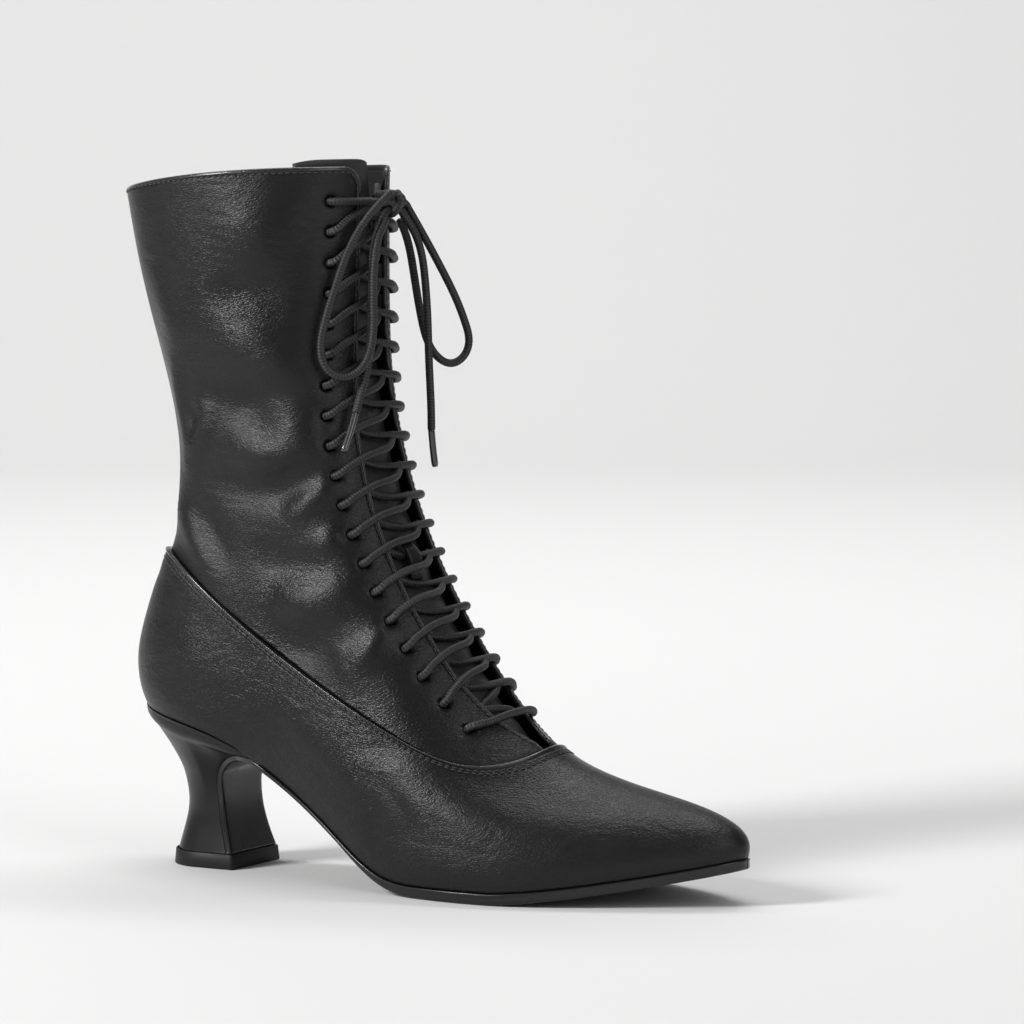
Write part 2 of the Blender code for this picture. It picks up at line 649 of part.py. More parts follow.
def crossings(lace):
    """Each crossing is two strands made one solid. The lowest lies under both flaps."""
    ups = eyelet_ups()
    for k in range(EYELETS - 1):
        high, low = ups[k], ups[k + 1]
        name = f"lace_cross_{k + 1:02d}"
        low_height = UNDER_FLAP if k == EYELETS - 2 else OVER_FLAP
        over = tube(name, strand(low, high, -1, low_height), LACE, lace)
        under = tube(name + "_under", strand(low, high, 1, low_height), LACE, lace)
        under.hide_render = True
        under.display_type = "WIRE"
        joined = over.modifiers.new("joined", "BOOLEAN")
        joined.operation = "UNION"
        joined.object = under


def foot_bar(lace):
    """The lowest lace, straight across from eyelet to eyelet outside the flaps."""
    ups = np.full(7, eyelet_ups()[-1])
    reach = beside_throat(ups[:1], EYELET_INSET - LACE)[0]
    turns = reach * np.linspace(-1, 1, 7)
    tube("lace_foot", lifted(ups, turns, np.full(7, OVER_FLAP)), LACE, lace)


def smooth_route(points, count):
    """Points evenly spaced along a spline through a route's own points."""
    points = np.asarray(points, float)
    walk = np.concatenate([[0], np.cumsum(np.linalg.norm(np.diff(points, axis=0), axis=1))])
    fine = spline(walk, points, np.linspace(0, walk[-1], 400))
    length = np.concatenate([[0], np.cumsum(np.linalg.norm(np.diff(fine, axis=0), axis=1))])
    even = np.linspace(0, length[-1], count)
    return np.stack([np.interp(even, length, fine[:, c]) for c in range(3)], axis=-1)


def cord(name, route, count, width, material_used):
    """A lace's free stretch: a bevelled curve with filled ends."""
    points = smooth_route(route, count)
    curve = bpy.data.curves.new(name, "CURVE")
    curve.dimensions = "3D"
    curve.bevel_depth = width / 2 * MM
    curve.bevel_resolution = 2
    curve.use_fill_caps = True
    line = curve.splines.new("POLY")
    line.points.add(len(points) - 1)
    line.points.foreach_set("co", np.hstack([points * MM, np.ones((len(points), 1))]).ravel())
    curve.materials.append(material_used)
    obj = bpy.data.objects.new(name, curve)
    bpy.context.collection.objects.link(obj)
    return obj


# The bow's routes, chosen by hand in the boot's millimetres. Each starts at the knot.
KNOT = np.array([107.5, 1.5, 251.0])
KNOT_SIZE = np.array([10.0, 12.5, 10.5])
OUTER_LOOP = [
    (109.6, -6.9, 253.6), (106.4, -13.9, 246.6), (101.4, -20.2, 233.7), (98.4, -24.2, 220.6),
    (95.6, -27.4, 207.2), (94.6, -28.2, 199.0), (96.2, -27.2, 191.6), (100.3, -23.4, 188.0),
    (104.5, -19.2, 189.6), (107.6, -16.3, 195.3), (108.4, -14.1, 204.8), (108.4, -13.9, 219.0),
    (108.6, -13.3, 230.3), (109.2, -10.9, 240.0), (109.8, -7.0, 245.6),
]
INNER_LOOP = [
    (109.6, 8.8, 249.6), (112.9, 13.8, 240.0), (117.0, 21.4, 226.1), (119.8, 26.0, 216.3),
    (122.1, 30.0, 205.7), (122.9, 31.0, 198.6), (121.3, 28.6, 193.0), (118.6, 24.6, 191.2),
    (115.6, 21.0, 193.4), (112.6, 18.2, 199.6), (110.9, 16.6, 208.0), (109.2, 13.6, 226.0),
    (108.0, 10.6, 238.6), (107.6, 6.6, 244.9),
]
OUTER_END = [
    (106.9, -6.0, 244.3), (106.2, -9.0, 237.0), (105.9, -10.4, 224.0), (105.8, -11.0, 211.0),
    (106.0, -12.2, 199.0), (105.7, -15.2, 188.6), (105.2, -18.0, 180.8), (104.7, -20.4, 174.8),
]
OUTER_TIP = [(104.6, -20.8, 173.9), (104.5, -24.0, 167.8), (103.8, -27.6, 160.8)]
INNER_END = [
    (110.5, 4.2, 247.1), (113.0, 7.8, 240.6), (114.6, 10.6, 232.0), (115.2, 12.0, 222.6),
    (115.6, 13.0, 210.0), (115.6, 13.8, 197.2), (115.4, 15.0, 185.8), (115.2, 16.3, 173.6),
    (115.0, 16.8, 166.8),
]
INNER_TIP = [(115.0, 16.9, 165.8), (115.2, 17.6, 159.6), (115.6, 18.5, 152.8)]
FREE_LACE = (
    "lace_knot", "lace_loop_outer", "lace_loop_inner", "lace_end_outer", "lace_end_inner",
    "lace_tip_outer", "lace_tip_inner",
)


def bow(lace, tip):
    """The knot, its two loops and its two ends with their metal tips."""
    sides, rows = 10, 6
    turn = np.linspace(0, 2 * np.pi, sides, endpoint=False)
    tall = np.linspace(-1.2, 1.2, rows)[:, None]
    flat = np.cos(tall)
    unit = np.stack([np.cos(turn) * flat, np.sin(turn) * flat, np.sin(tall) + 0 * turn], axis=-1)
    points = (KNOT + unit * KNOT_SIZE / 2).reshape(-1, 3)
    faces = [tuple(range(sides)), tuple(range(sides * (rows - 1), sides * rows))]
    for k in range(rows - 1):
        low = sides * k + np.append(np.arange(sides), 0)
        faces += quads(low, low + sides)
    solid_object("lace_knot", points, faces, lace)
    cord("lace_loop_outer", OUTER_LOOP, 22, LACE, lace)
    cord("lace_loop_inner", INNER_LOOP, 20, LACE, lace)
    cord("lace_end_outer", OUTER_END, 12, LACE, lace)
    cord("lace_end_inner", INNER_END, 13, LACE, lace)
    cord("lace_tip_outer", OUTER_TIP, 4, TIP, tip)
    cord("lace_tip_inner", INNER_TIP, 4, TIP, tip)


def top_laces(lace):
    """From the top eyelets over the flaps to the knot."""
    up = eyelet_ups()[0]
    reach = beside_throat([up], EYELET_INSET - LACE)[0]
    for name, side in (("lace_top_outer", -1), ("lace_top_inner", 1)):
        turns = side * np.linspace(reach, throat_turn([up])[0], 4)
        route = lifted(np.full(4, up), turns, np.full(4, OVER_FLAP))
        at_knot = KNOT + [-2.5, side * (KNOT_SIZE[1] / 2 + 2 * GAP), -1.0]
        tube(name, np.vstack([route, at_knot]), LACE, lace)


def stand_at_origin(free_names):
    """Moves every mesh and curve so that the boot's box, its free cords left out, stands on the
    origin."""
    bpy.context.view_layer.update()
    low = np.full(3, np.inf)
    high = -low
    for obj in bpy.data.objects:
        if obj.type == "MESH" and not obj.hide_render and obj.name not in free_names:
            points = np.empty(len(obj.data.vertices) * 3)
            obj.data.vertices.foreach_get("co", points)
            points = points.reshape(-1, 3)
            low = np.minimum(low, points.min(axis=0))
            high = np.maximum(high, points.max(axis=0))
    middle = (low + high) / 2
    for obj in bpy.data.objects:
        obj.location = (-middle[0], -middle[1], 0.0)


def main():
    for obj in list(bpy.data.objects):
        bpy.data.objects.remove(obj)
    leather = material("black_leather", (0.012, 0.012, 0.013), 0.38)
    sole = material("black_sole", (0.010, 0.010, 0.010), 0.25)
    rubber = material("black_rubber", (0.014, 0.014, 0.014), 0.60)
    sock = material("sock_leather", (0.10, 0.085, 0.07), 0.65)
    lace = material("black_lace", (0.012, 0.012, 0.013), 0.75)
    boot_upper = upper(leather)
    punch_eyelets(boot_upper, leather)
    outsole(sole)
    heel(leather)
    top_piece(rubber)
    insole(sock)
    tongue(leather)
    keeper(leather)
    crossings(lace)
    foot_bar(lace)
    top_laces(lace)
    bow(lace, material("tip_metal", (0.02, 0.02, 0.022), 0.2, 0.6))
    stand_at_origin(FREE_LACE)


main()
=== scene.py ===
"""The scene: a lady's laced leather boot on a curved heel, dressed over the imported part.

Points are in the boot's own millimetres until a mesh is made: x from the back of the heel to the
toe, y to the inner side of the foot, z up from the floor. The upper's form is the part's own, on
a finer grid, with the part's tables.
"""

import json

import bpy
import numpy as np
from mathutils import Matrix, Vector

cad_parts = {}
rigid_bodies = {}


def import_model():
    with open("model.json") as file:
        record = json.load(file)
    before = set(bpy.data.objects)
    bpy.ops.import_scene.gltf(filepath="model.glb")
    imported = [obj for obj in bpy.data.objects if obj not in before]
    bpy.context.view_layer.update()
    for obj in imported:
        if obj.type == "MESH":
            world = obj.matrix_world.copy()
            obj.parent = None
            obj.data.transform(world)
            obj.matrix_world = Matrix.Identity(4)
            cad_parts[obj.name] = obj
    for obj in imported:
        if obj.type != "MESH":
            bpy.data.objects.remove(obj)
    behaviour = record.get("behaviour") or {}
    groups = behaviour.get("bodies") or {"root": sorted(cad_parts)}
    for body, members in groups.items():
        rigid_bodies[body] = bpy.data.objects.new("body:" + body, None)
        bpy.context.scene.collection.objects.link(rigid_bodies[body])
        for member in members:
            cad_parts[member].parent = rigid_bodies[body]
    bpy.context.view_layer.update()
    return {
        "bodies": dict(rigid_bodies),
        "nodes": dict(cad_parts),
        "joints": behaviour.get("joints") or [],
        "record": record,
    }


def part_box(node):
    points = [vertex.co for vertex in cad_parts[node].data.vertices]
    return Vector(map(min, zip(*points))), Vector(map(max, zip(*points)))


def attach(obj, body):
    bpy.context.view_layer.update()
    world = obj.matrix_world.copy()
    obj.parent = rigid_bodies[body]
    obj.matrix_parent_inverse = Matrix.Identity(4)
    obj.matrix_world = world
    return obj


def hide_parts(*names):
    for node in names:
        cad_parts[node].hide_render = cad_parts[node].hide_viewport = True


MM = 0.001

# Driving sizes
LENGTH = 255.0
BALL_WIDTH = 82.0
COLLAR_WIDTH = 78.4
SEAT_HEIGHT = 61.5
COUNTER_HEIGHT = 57.5
VAMP_HEIGHT = 53.3
FRONT_HEIGHT = 265.0
BACK_HEIGHT = 255.0
TOE_SPRING = 13.4
WALL = 2.0
FOXING_STEP = 0.9
GAP = 0.3

# Sole
SOLE_BALL = 4.2
SOLE_SHANK = 2.4
SOLE_FLAP = 1.8
SOLE_RIM = 0.5
BALL_BACK = 138.0
BALL_FRONT = 172.0
INSOLE_THICKNESS = 2.0

# Heel
TOP_PIECE = 5.7
TOP_PIECE_WIDTH = 33.6
SEAT_WIDTH = 57.0
BREAST_X = LENGTH * 0.1627
BREAST_REACH = LENGTH * 0.0784
TOP_PIECE_BACK = BREAST_X * 0.337
TOP_PIECE_FRONT = BREAST_X * 1.147

# Throat and lacing
THROAT_GAP = 32.0
EYELETS = 19
EYELET_HOLE = 3.8
EYELET_INSET = 13.2
EYELET_TOP = 0.959
EYELET_FOOT = 0.337
LACE = 3.0
TIP = 2.6
TONGUE_THICKNESS = 1.6
TONGUE_WIDTH = 44.0
TONGUE_RISE = 2.5
TONGUE_FOOT = 0.235
TONGUE_DEPTH = WALL + LACE + 5 * GAP
TONGUE_SHIFT = 14.0
KEEPER_WIDTH = 7.0
KEEPER_MIDDLE = -3.0
KEEPER_THICKNESS = 1.0
COLLAR_CROWN = 2.6

# One row per ring, feather line to collar: front x, front z, back x, back z, sole, seam. Both x
# are shares of LENGTH. Up to the seam, front z is a share of the vamp's height over the sole and
# back z one of COUNTER_HEIGHT over the seat. Above it both are shares of the way to the collar.
# sole and seam say how much of those two lines' sag the ring takes.
FOXING_RINGS = np.array([
    (0.993, 0.00, 0.016, 0.000, 1.00, 0.00),
    (0.995, 0.09, 0.006, 0.122, 0.92, 0.00),
    (0.985, 0.20, 0.001, 0.270, 0.80, 0.10),
    (0.942, 0.37, 0.006, 0.445, 0.66, 0.30),
    (0.859, 0.57, 0.020, 0.635, 0.50, 0.55),
    (0.773, 0.76, 0.039, 0.825, 0.27, 0.80),
    (0.693, 1.00, 0.061, 1.000, 0.00, 1.00),
])
QUARTER_RINGS = np.array([
    (0.571, 0.150, 0.076, 0.125, 0.00, 0.50),
    (0.474, 0.334, 0.080, 0.280, 0.00, 0.15),
    (0.414, 0.546, 0.064, 0.475, 0.00, 0.00),
    (0.398, 0.768, 0.021, 0.750, 0.00, 0.00),
    (0.399, 1.000, -0.010, 1.000, 0.00, 0.00),
])
# Half widths at eighths of the half turn, front to back, as shares of half the ball's width for
# the first seven rings, and of half the collar's for the rest.
FOXING_WIDTHS = np.array([
    (0.30, 0.68, 0.975, 0.82, 0.63, 0.68, 0.46),
    (0.33, 0.72, 1.010, 0.87, 0.69, 0.73, 0.49),
    (0.33, 0.71, 1.000, 0.89, 0.74, 0.74, 0.49),
    (0.33, 0.70, 0.975, 0.90, 0.77, 0.74, 0.48),
    (0.36, 0.73, 0.940, 0.89, 0.78, 0.72, 0.46),
    (0.40, 0.75, 0.900, 0.86, 0.77, 0.70, 0.45),
    (0.43, 0.75, 0.850, 0.81, 0.76, 0.68, 0.43),
])
QUARTER_WIDTHS = np.array([
    (0.41, 0.71, 0.815, 0.80, 0.77, 0.68, 0.43),
    (0.38, 0.67, 0.775, 0.785, 0.75, 0.64, 0.40),
    (0.37, 0.665, 0.805, 0.84, 0.80, 0.66, 0.39),
    (0.39, 0.715, 0.895, 0.955, 0.90, 0.73, 0.405),
    (0.40, 0.74, 0.930, 1.000, 0.94, 0.75, 0.415),
])
# The seam's height over its chord at the same angles, as shares of COUNTER_HEIGHT
SEAM_SAG = np.array([0.0, -0.11, -0.24, -0.235, -0.185, -0.095, 0.025, 0.065, 0.0])
# The feather line, heel seat to ball: x as a share of LENGTH, z as a share of SEAT_HEIGHT
SHANK_LINE = np.array([
    (0.016, 1.000), (0.070, 0.957), (0.125, 0.912), (0.180, 0.850), (0.230, 0.762), (0.275, 0.658),
    (0.320, 0.540), (0.365, 0.415), (0.410, 0.285), (0.455, 0.165), (0.500, 0.090), (0.541, 0.068),
])
# The foot's curve to its inner side: x as a share of LENGTH, y as a share of BALL_WIDTH
SWING = np.array([
    (0.00, 0.000), (0.20, 0.000), (0.31, -0.010), (0.40, -0.028), (0.48, -0.040), (0.56, -0.038),
    (0.64, -0.018), (0.72, 0.008), (0.80, 0.034), (0.90, 0.050), (1.00, 0.050),
])
# Half the throat's gap, seam to collar: share up the boot, share of half of THROAT_GAP
THROAT = np.array([
    (0.30, 0.30), (0.34, 0.68), (0.39, 0.92), (0.47, 1.00), (0.58, 0.98), (0.67, 0.88), (0.76, 0.70),
    (0.86, 0.58), (1.00, 0.55),
])
# The underside of the sole turning down the heel's breast: x as a share of the breast's reach
# in front of the waist, z as a share of SEAT_HEIGHT, half width as a share of half SEAT_WIDTH
BREAST_LINE = np.array([
    (1.00, 0.685, 0.93), (0.74, 0.693, 0.86), (0.46, 0.680, 0.73), (0.22, 0.645, 0.62),
    (0.05, 0.590, 0.54), (0.00, 0.520, 0.505), (0.02, 0.425, 0.49), (0.07, 0.315, 0.50),
    (0.16, 0.200, 0.53), (0.26, 0.100, 0.57),
])
# The heel's back: x as a share of BREAST_X, z as a share of SEAT_HEIGHT, half width as a share
# of half SEAT_WIDTH, in step with the rows of BREAST_LINE
HEEL_BACKS = np.array([
    (0.100, 0.995, 1.000), (0.150, 0.945, 0.940), (0.215, 0.875, 0.860), (0.290, 0.795, 0.760),
    (0.370, 0.705, 0.665), (0.440, 0.600, 0.575), (0.483, 0.450, 0.510), (0.475, 0.325, 0.503),
    (0.428, 0.205, 0.535), (0.380, 0.100, 0.570),
])

# The tongue's half width: share up the boot, share of TONGUE_WIDTH
TONGUE_SIDES = np.array([(TONGUE_FOOT, 0.36), (0.32, 0.44), (0.45, 0.50), (0.80, 0.50), (1.00, 0.38)])
# The keeper's two ends on the tongue, as shares up the boot
KEEPER_ENDS = (0.548, 0.598)




def spline(knots, values, at, level_ends=False):
    """Natural cubic through rows of values: second slopes solve the usual three-band system, and
    are 0 at the ends, or level_ends sets the first slopes there to 0."""
    values = np.asarray(values, float)
    step = np.diff(knots)
    count = len(knots)
    rise = np.diff(values, axis=0) / step.reshape((-1,) + (1,) * (values.ndim - 1))
    bands = np.eye(count)
    right = np.zeros_like(values)
    inner = np.arange(1, count - 1)
    bands[inner, inner - 1] = step[:-1]
    bands[inner, inner] = 2 * (step[:-1] + step[1:])
    bands[inner, inner + 1] = step[1:]
    right[1:-1] = 6 * (rise[1:] - rise[:-1])
    if level_ends:
        bands[0, :2] = 2 * step[0], step[0]
        bands[-1, -2:] = step[-1], 2 * step[-1]
        right[0] = 6 * rise[0]
        right[-1] = -6 * rise[-1]
    second = np.linalg.solve(bands, right.reshape(count, -1)).reshape(values.shape)
    at = np.asarray(at, float)
    k = np.clip(np.searchsorted(knots, at) - 1, 0, count - 2)
    wide = (...,) + (None,) * (values.ndim - 1)
    h = step[k][wide]
    a = (knots[k + 1] - at)[wide] / h
    b = (at - knots[k])[wide] / h
    bend = ((a**3 - a) * second[k] + (b**3 - b) * second[k + 1]) * h * h / 6
    return a * values[k] + b * values[k + 1] + bend


def sole_top(x):
    """The feather line's height: a spline down the shank, level over the ball, a rising power
    curve to the toe."""
    shank = spline(SHANK_LINE[:, 0] * LENGTH, SHANK_LINE[:, 1] * SEAT_HEIGHT, x)
    along = np.clip((x - BALL_FRONT) / (LENGTH - BALL_FRONT), 0, None)
    return np.where(x < BALL_BACK, np.maximum(shank, SOLE_BALL), SOLE_BALL + TOE_SPRING * along**1.35)


def swing(x):
    """How far the foot's middle lies to the inner side at x."""
    return spline(SWING[:, 0] * LENGTH, SWING[:, 1] * BALL_WIDTH, x)


def ring_rows():
    """The rings' tables in millimetres, and each ring's share up the boot."""
    foxing = FOXING_RINGS.copy()
    quarter = QUARTER_RINGS.copy()
    foxing[:, (0, 2)] *= LENGTH
    quarter[:, (0, 2)] *= LENGTH
    base = sole_top(foxing[:, 0])
    foxing[:, 1] = base + foxing[:, 1] * (VAMP_HEIGHT - base[-1])
    foxing[:, 3] = SEAT_HEIGHT + foxing[:, 3] * COUNTER_HEIGHT
    seam_back = SEAT_HEIGHT + COUNTER_HEIGHT
    quarter[:, 1] = VAMP_HEIGHT + quarter[:, 1] * (FRONT_HEIGHT - VAMP_HEIGHT)
    quarter[:, 3] = seam_back + quarter[:, 3] * (BACK_HEIGHT - seam_back)
    widths = np.vstack([FOXING_WIDTHS * BALL_WIDTH, QUARTER_WIDTHS * COLLAR_WIDTH]) / 2
    rings = np.vstack([foxing, quarter])
    moved = np.diff(rings[:, :4], axis=0)
    climb = np.hypot(moved[:, 0], moved[:, 1]) + np.hypot(moved[:, 2], moved[:, 3])
    up = np.concatenate([[0], np.cumsum(climb)])
    ends = np.zeros((len(rings), 1))
    return up / up[-1], np.hstack([rings, ends, widths, ends])


RING_UP, RING_TABLE = ring_rows()
SEAM = RING_UP[len(FOXING_RINGS) - 1]
EIGHTHS = np.linspace(0, np.pi, 9)


def form(up, turn):
    """A point of the outer surface, as an array ending in x, y, z. A ring runs from its front
    point to its back point, x by the cosine of the turn. Its height is its chord plus shares of
    the sole's and the seam's sag, with a crown towards the collar, and its half width is a
    spline of the ring's row."""
    up, turn = np.broadcast_arrays(np.asarray(up, float), np.asarray(turn, float))
    row = spline(RING_UP, RING_TABLE, up)
    front_x, front_z, back_x, back_z, sole, seam = np.moveaxis(row[..., :6], -1, 0)
    angle = np.abs(turn)
    share = (1 - np.cos(turn)) / 2
    feather = RING_TABLE[0]
    feather_x = feather[0] + (feather[2] - feather[0]) * share
    sole_sag = sole_top(feather_x) - (feather[1] + (feather[3] - feather[1]) * share)
    seam_sag = spline(EIGHTHS, SEAM_SAG * COUNTER_HEIGHT, angle, level_ends=True)
    x = front_x + (back_x - front_x) * share
    z = front_z + (back_z - front_z) * share + sole * sole_sag + seam * seam_sag
    half = np.sum(spline(EIGHTHS, np.eye(9), angle) * row[..., 6:], axis=-1)
    z = z + 4 * COLLAR_CROWN * share * (1 - share) * np.clip((up - 0.6) / 0.4, 0, 1) ** 2
    return np.stack([x, np.sign(turn) * half + swing(x) * foot_share(up), z], axis=-1)


def foot_share(up):
    """How much of the foot's curve a ring keeps: all of it at the sole, none above the ankle."""
    return np.clip(1 - up / 0.75, 0, 1) ** 2


def outward(up, turn):
    """Unit normals of the form, from the cross product of its two slopes."""
    nudge = 1e-3
    rise = form(np.add(up, nudge), turn) - form(np.subtract(up, nudge), turn)
    sweep = form(up, np.add(turn, nudge)) - form(up, np.subtract(turn, nudge))
    normal = np.cross(sweep, rise)
    return normal / np.linalg.norm(normal, axis=-1, keepdims=True)


def lifted(up, turn, height):
    """A point that stands off the form by this height along its normal."""
    up, turn = np.broadcast_arrays(np.asarray(up, float), np.asarray(turn, float))
    return form(up, turn) + outward(up, turn) * np.asarray(height, float)[..., None]


def turn_at(up, across):
    """The turn, front part of a ring, where the half width is across."""
    turns = np.linspace(0, np.pi / 2, 60)
    found = [
        np.interp(abs(w), form(u, turns)[:, 1] - form(u, 0.0)[1], turns)
        for u, w in zip(np.atleast_1d(up), np.atleast_1d(across))
    ]
    return np.sign(across) * np.array(found)


def throat_turn(up):
    """The turn of the throat's edge. Below the seam the ring is closed, and this is where the
    front columns start."""
    half = np.interp(up, THROAT[:, 0], THROAT[:, 1]) * THROAT_GAP / 2
    return turn_at(up, half)


# The bow's routes, given in the boot's millimetres. Each starts at the knot.
KNOT = np.array([107.5, 1.5, 251.0])
KNOT_SIZE = np.array([10.0, 12.5, 10.5])
OUTER_LOOP = [
    (109.6, -6.9, 253.6), (106.4, -13.9, 246.6), (101.4, -20.2, 233.7), (98.4, -24.2, 220.6),
    (95.6, -27.4, 207.2), (94.6, -28.2, 199.0), (96.2, -27.2, 191.6), (100.3, -23.4, 188.0),
    (104.5, -19.2, 189.6), (107.6, -16.3, 195.3), (108.4, -14.1, 204.8), (108.4, -13.9, 219.0),
    (108.6, -13.3, 230.3), (109.2, -10.9, 240.0), (109.8, -7.0, 245.6),
]
INNER_LOOP = [
    (109.6, 8.8, 249.6), (112.9, 13.8, 240.0), (117.0, 21.4, 226.1), (119.8, 26.0, 216.3),
    (122.1, 30.0, 205.7), (122.9, 31.0, 198.6), (121.3, 28.6, 193.0), (118.6, 24.6, 191.2),
    (115.6, 21.0, 193.4), (112.6, 18.2, 199.6), (110.9, 16.6, 208.0), (109.2, 13.6, 226.0),
    (108.0, 10.6, 238.6), (107.6, 6.6, 244.9),
]
OUTER_END = [
    (106.9, -6.0, 244.3), (106.2, -9.0, 237.0), (105.9, -10.4, 224.0), (105.8, -11.0, 211.0),
    (106.0, -12.2, 199.0), (105.7, -15.2, 188.6), (105.2, -18.0, 180.8), (104.7, -20.4, 174.8),
]
OUTER_TIP = [(104.6, -20.8, 173.9), (104.5, -24.0, 167.8), (103.8, -27.6, 160.8)]
INNER_END = [
    (110.5, 4.2, 247.1), (113.0, 7.8, 240.6), (114.6, 10.6, 232.0), (115.2, 12.0, 222.6),
    (115.6, 13.0, 210.0), (115.6, 13.8, 197.2), (115.4, 15.0, 185.8), (115.2, 16.3, 173.6),
    (115.0, 16.8, 166.8),
]
INNER_TIP = [(115.0, 16.9, 165.8), (115.2, 17.6, 159.6), (115.6, 18.5, 152.8)]


def row_shift():
    """What takes the boot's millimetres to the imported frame, read off the top piece's box."""
    low, high = np.array(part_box("top_piece")) / MM
    return np.array([low[0] - TOP_PIECE_BACK, (low[1] + high[1]) / 2, 0.0])


# Surface tools


def unit(vectors):
    return vectors / np.maximum(np.linalg.norm(vectors, axis=-1, keepdims=True), 1e-12)


def step_between(at, low, high):
    """Smooth step from 0 at low to 1 at high."""
    t = np.clip((np.asarray(at, float) - low) / (high - low), 0, 1)
    return t * t * (3 - 2 * t)


def bump(at, middle, half_width):
    """Gaussian hump of height 1."""
    return np.exp(-(((np.asarray(at, float) - middle) / half_width) ** 2))


def ring_walk(ups, first=0.0, count=420):
    """Turns from first to pi and, for each share up the boot, the length round the ring to them."""
    turns = np.linspace(first, np.pi, count)
    points = form(np.asarray(ups)[:, None], turns)
    steps = np.linalg.norm(np.diff(points, axis=1), axis=-1)
    return turns, np.hstack([np.zeros((len(steps), 1)), np.cumsum(steps, axis=1)])


def turns_beside_throat(ups, distances):
    """Turns that lie these distances round each ring from the throat's edge, one row a share."""
    turns, walks = ring_walk(ups)
    starts = throat_turn(ups)
    distances = np.broadcast_to(distances, (len(ups), np.shape(distances)[-1]))
    rows = [
        np.interp(np.interp(start, turns, walk) + row, walk, turns)
        for start, walk, row in zip(starts, walks, distances)
    ]
    return np.array(rows)


def grid_faces(rows, columns, closed=False):
    """Quads of a grid with this many rows and columns, joined round if closed."""
    number = np.arange(rows * columns).reshape(rows, columns)
    if closed:
        number = np.hstack([number, number[:, :1]])
    return np.stack(
        [number[:-1, :-1], number[:-1, 1:], number[1:, 1:], number[1:, :-1]], axis=-1
    ).reshape(-1, 4)


def walls(faces, count):
    """Quads that join the open edges of a sheet to the same sheet numbered count higher."""
    start = faces.ravel()
    end = np.roll(faces, -1, axis=1).ravel()
    lone = ~np.isin(start * count + end, end * count + start)
    start, end = start[lone], end[lone]
    return np.stack([end, start, start + count, end + count], axis=-1)


def end_fans(around, count):
    """Triangles that close both ends of a tube of rings. around is the points a ring, and count
    the points of all rings: the two ends' middles are the points count and count + 1."""
    ring = np.arange(around)
    after = np.roll(ring, -1)
    first = np.stack([after, ring, np.full(around, count)], axis=-1)
    last = np.stack([ring, after, np.full(around, count + 1)], axis=-1)
    last[:, :2] += count - around
    return np.vstack([first, last])


def mesh_object(name, points, faces, materials, fields=(), kinds=None, vectors=()):
    """A smooth mesh object. fields holds (name, one number a vertex), vectors (name, three
    numbers a vertex), and kinds a material number a face."""
    mesh = bpy.data.meshes.new(name)
    points = (np.asarray(points) + SHIFT) * MM
    faces = [np.asarray(part) for part in (faces if isinstance(faces, (list, tuple)) else [faces])]
    mesh.vertices.add(len(points))
    mesh.vertices.foreach_set("co", points.ravel())
    sizes = np.concatenate([np.full(len(part), part.shape[1]) for part in faces])
    corners = np.concatenate([part.ravel() for part in faces])
    mesh.loops.add(len(corners))
    mesh.loops.foreach_set("vertex_index", corners.astype(np.int32))
    mesh.polygons.add(len(sizes))
    mesh.polygons.foreach_set("loop_start", np.concatenate([[0], np.cumsum(sizes)[:-1]]).astype(np.int32))
    mesh.polygons.foreach_set("use_smooth", np.ones(len(sizes), bool))
    if kinds is not None:
        mesh.polygons.foreach_set("material_index", np.asarray(kinds, np.int32))
    for label, values in fields:
        layer = mesh.attributes.new(label, "FLOAT", "POINT")
        layer.data.foreach_set("value", np.asarray(values, np.float32).ravel())
    for label, values in vectors:
        layer = mesh.attributes.new(label, "FLOAT_VECTOR", "POINT")
        layer.data.foreach_set("vector", np.asarray(values, np.float32).ravel())
    mesh.validate()
    mesh.update(calc_edges=True)
    for each in materials:
        mesh.materials.append(each)
    obj = bpy.data.objects.new(name, mesh)
    bpy.context.collection.objects.link(obj)
    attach(obj, "root")
    return obj


def shell(name, outer, inner, faces, materials, gloss_and_painted_highlight):
    """A wall from two sheets with the same faces, the outer one's material first."""
    count = len(outer)
    side = walls(faces, count)
    all_faces = np.vstack([faces, faces[:, ::-1] + count, side])
    kinds = np.concatenate([np.zeros(len(faces)), np.ones(len(faces)), np.zeros(len(side))])
    used = np.unique(all_faces)
    fresh = np.full(2 * count, -1)
    fresh[used] = np.arange(len(used))
    points = np.vstack([outer, inner])[used]
    fields = [("gloss_and_painted_highlight", np.concatenate([gloss_and_painted_highlight, np.zeros(count)])[used])]
    return mesh_object(name, points, fresh[all_faces], materials, fields, kinds)


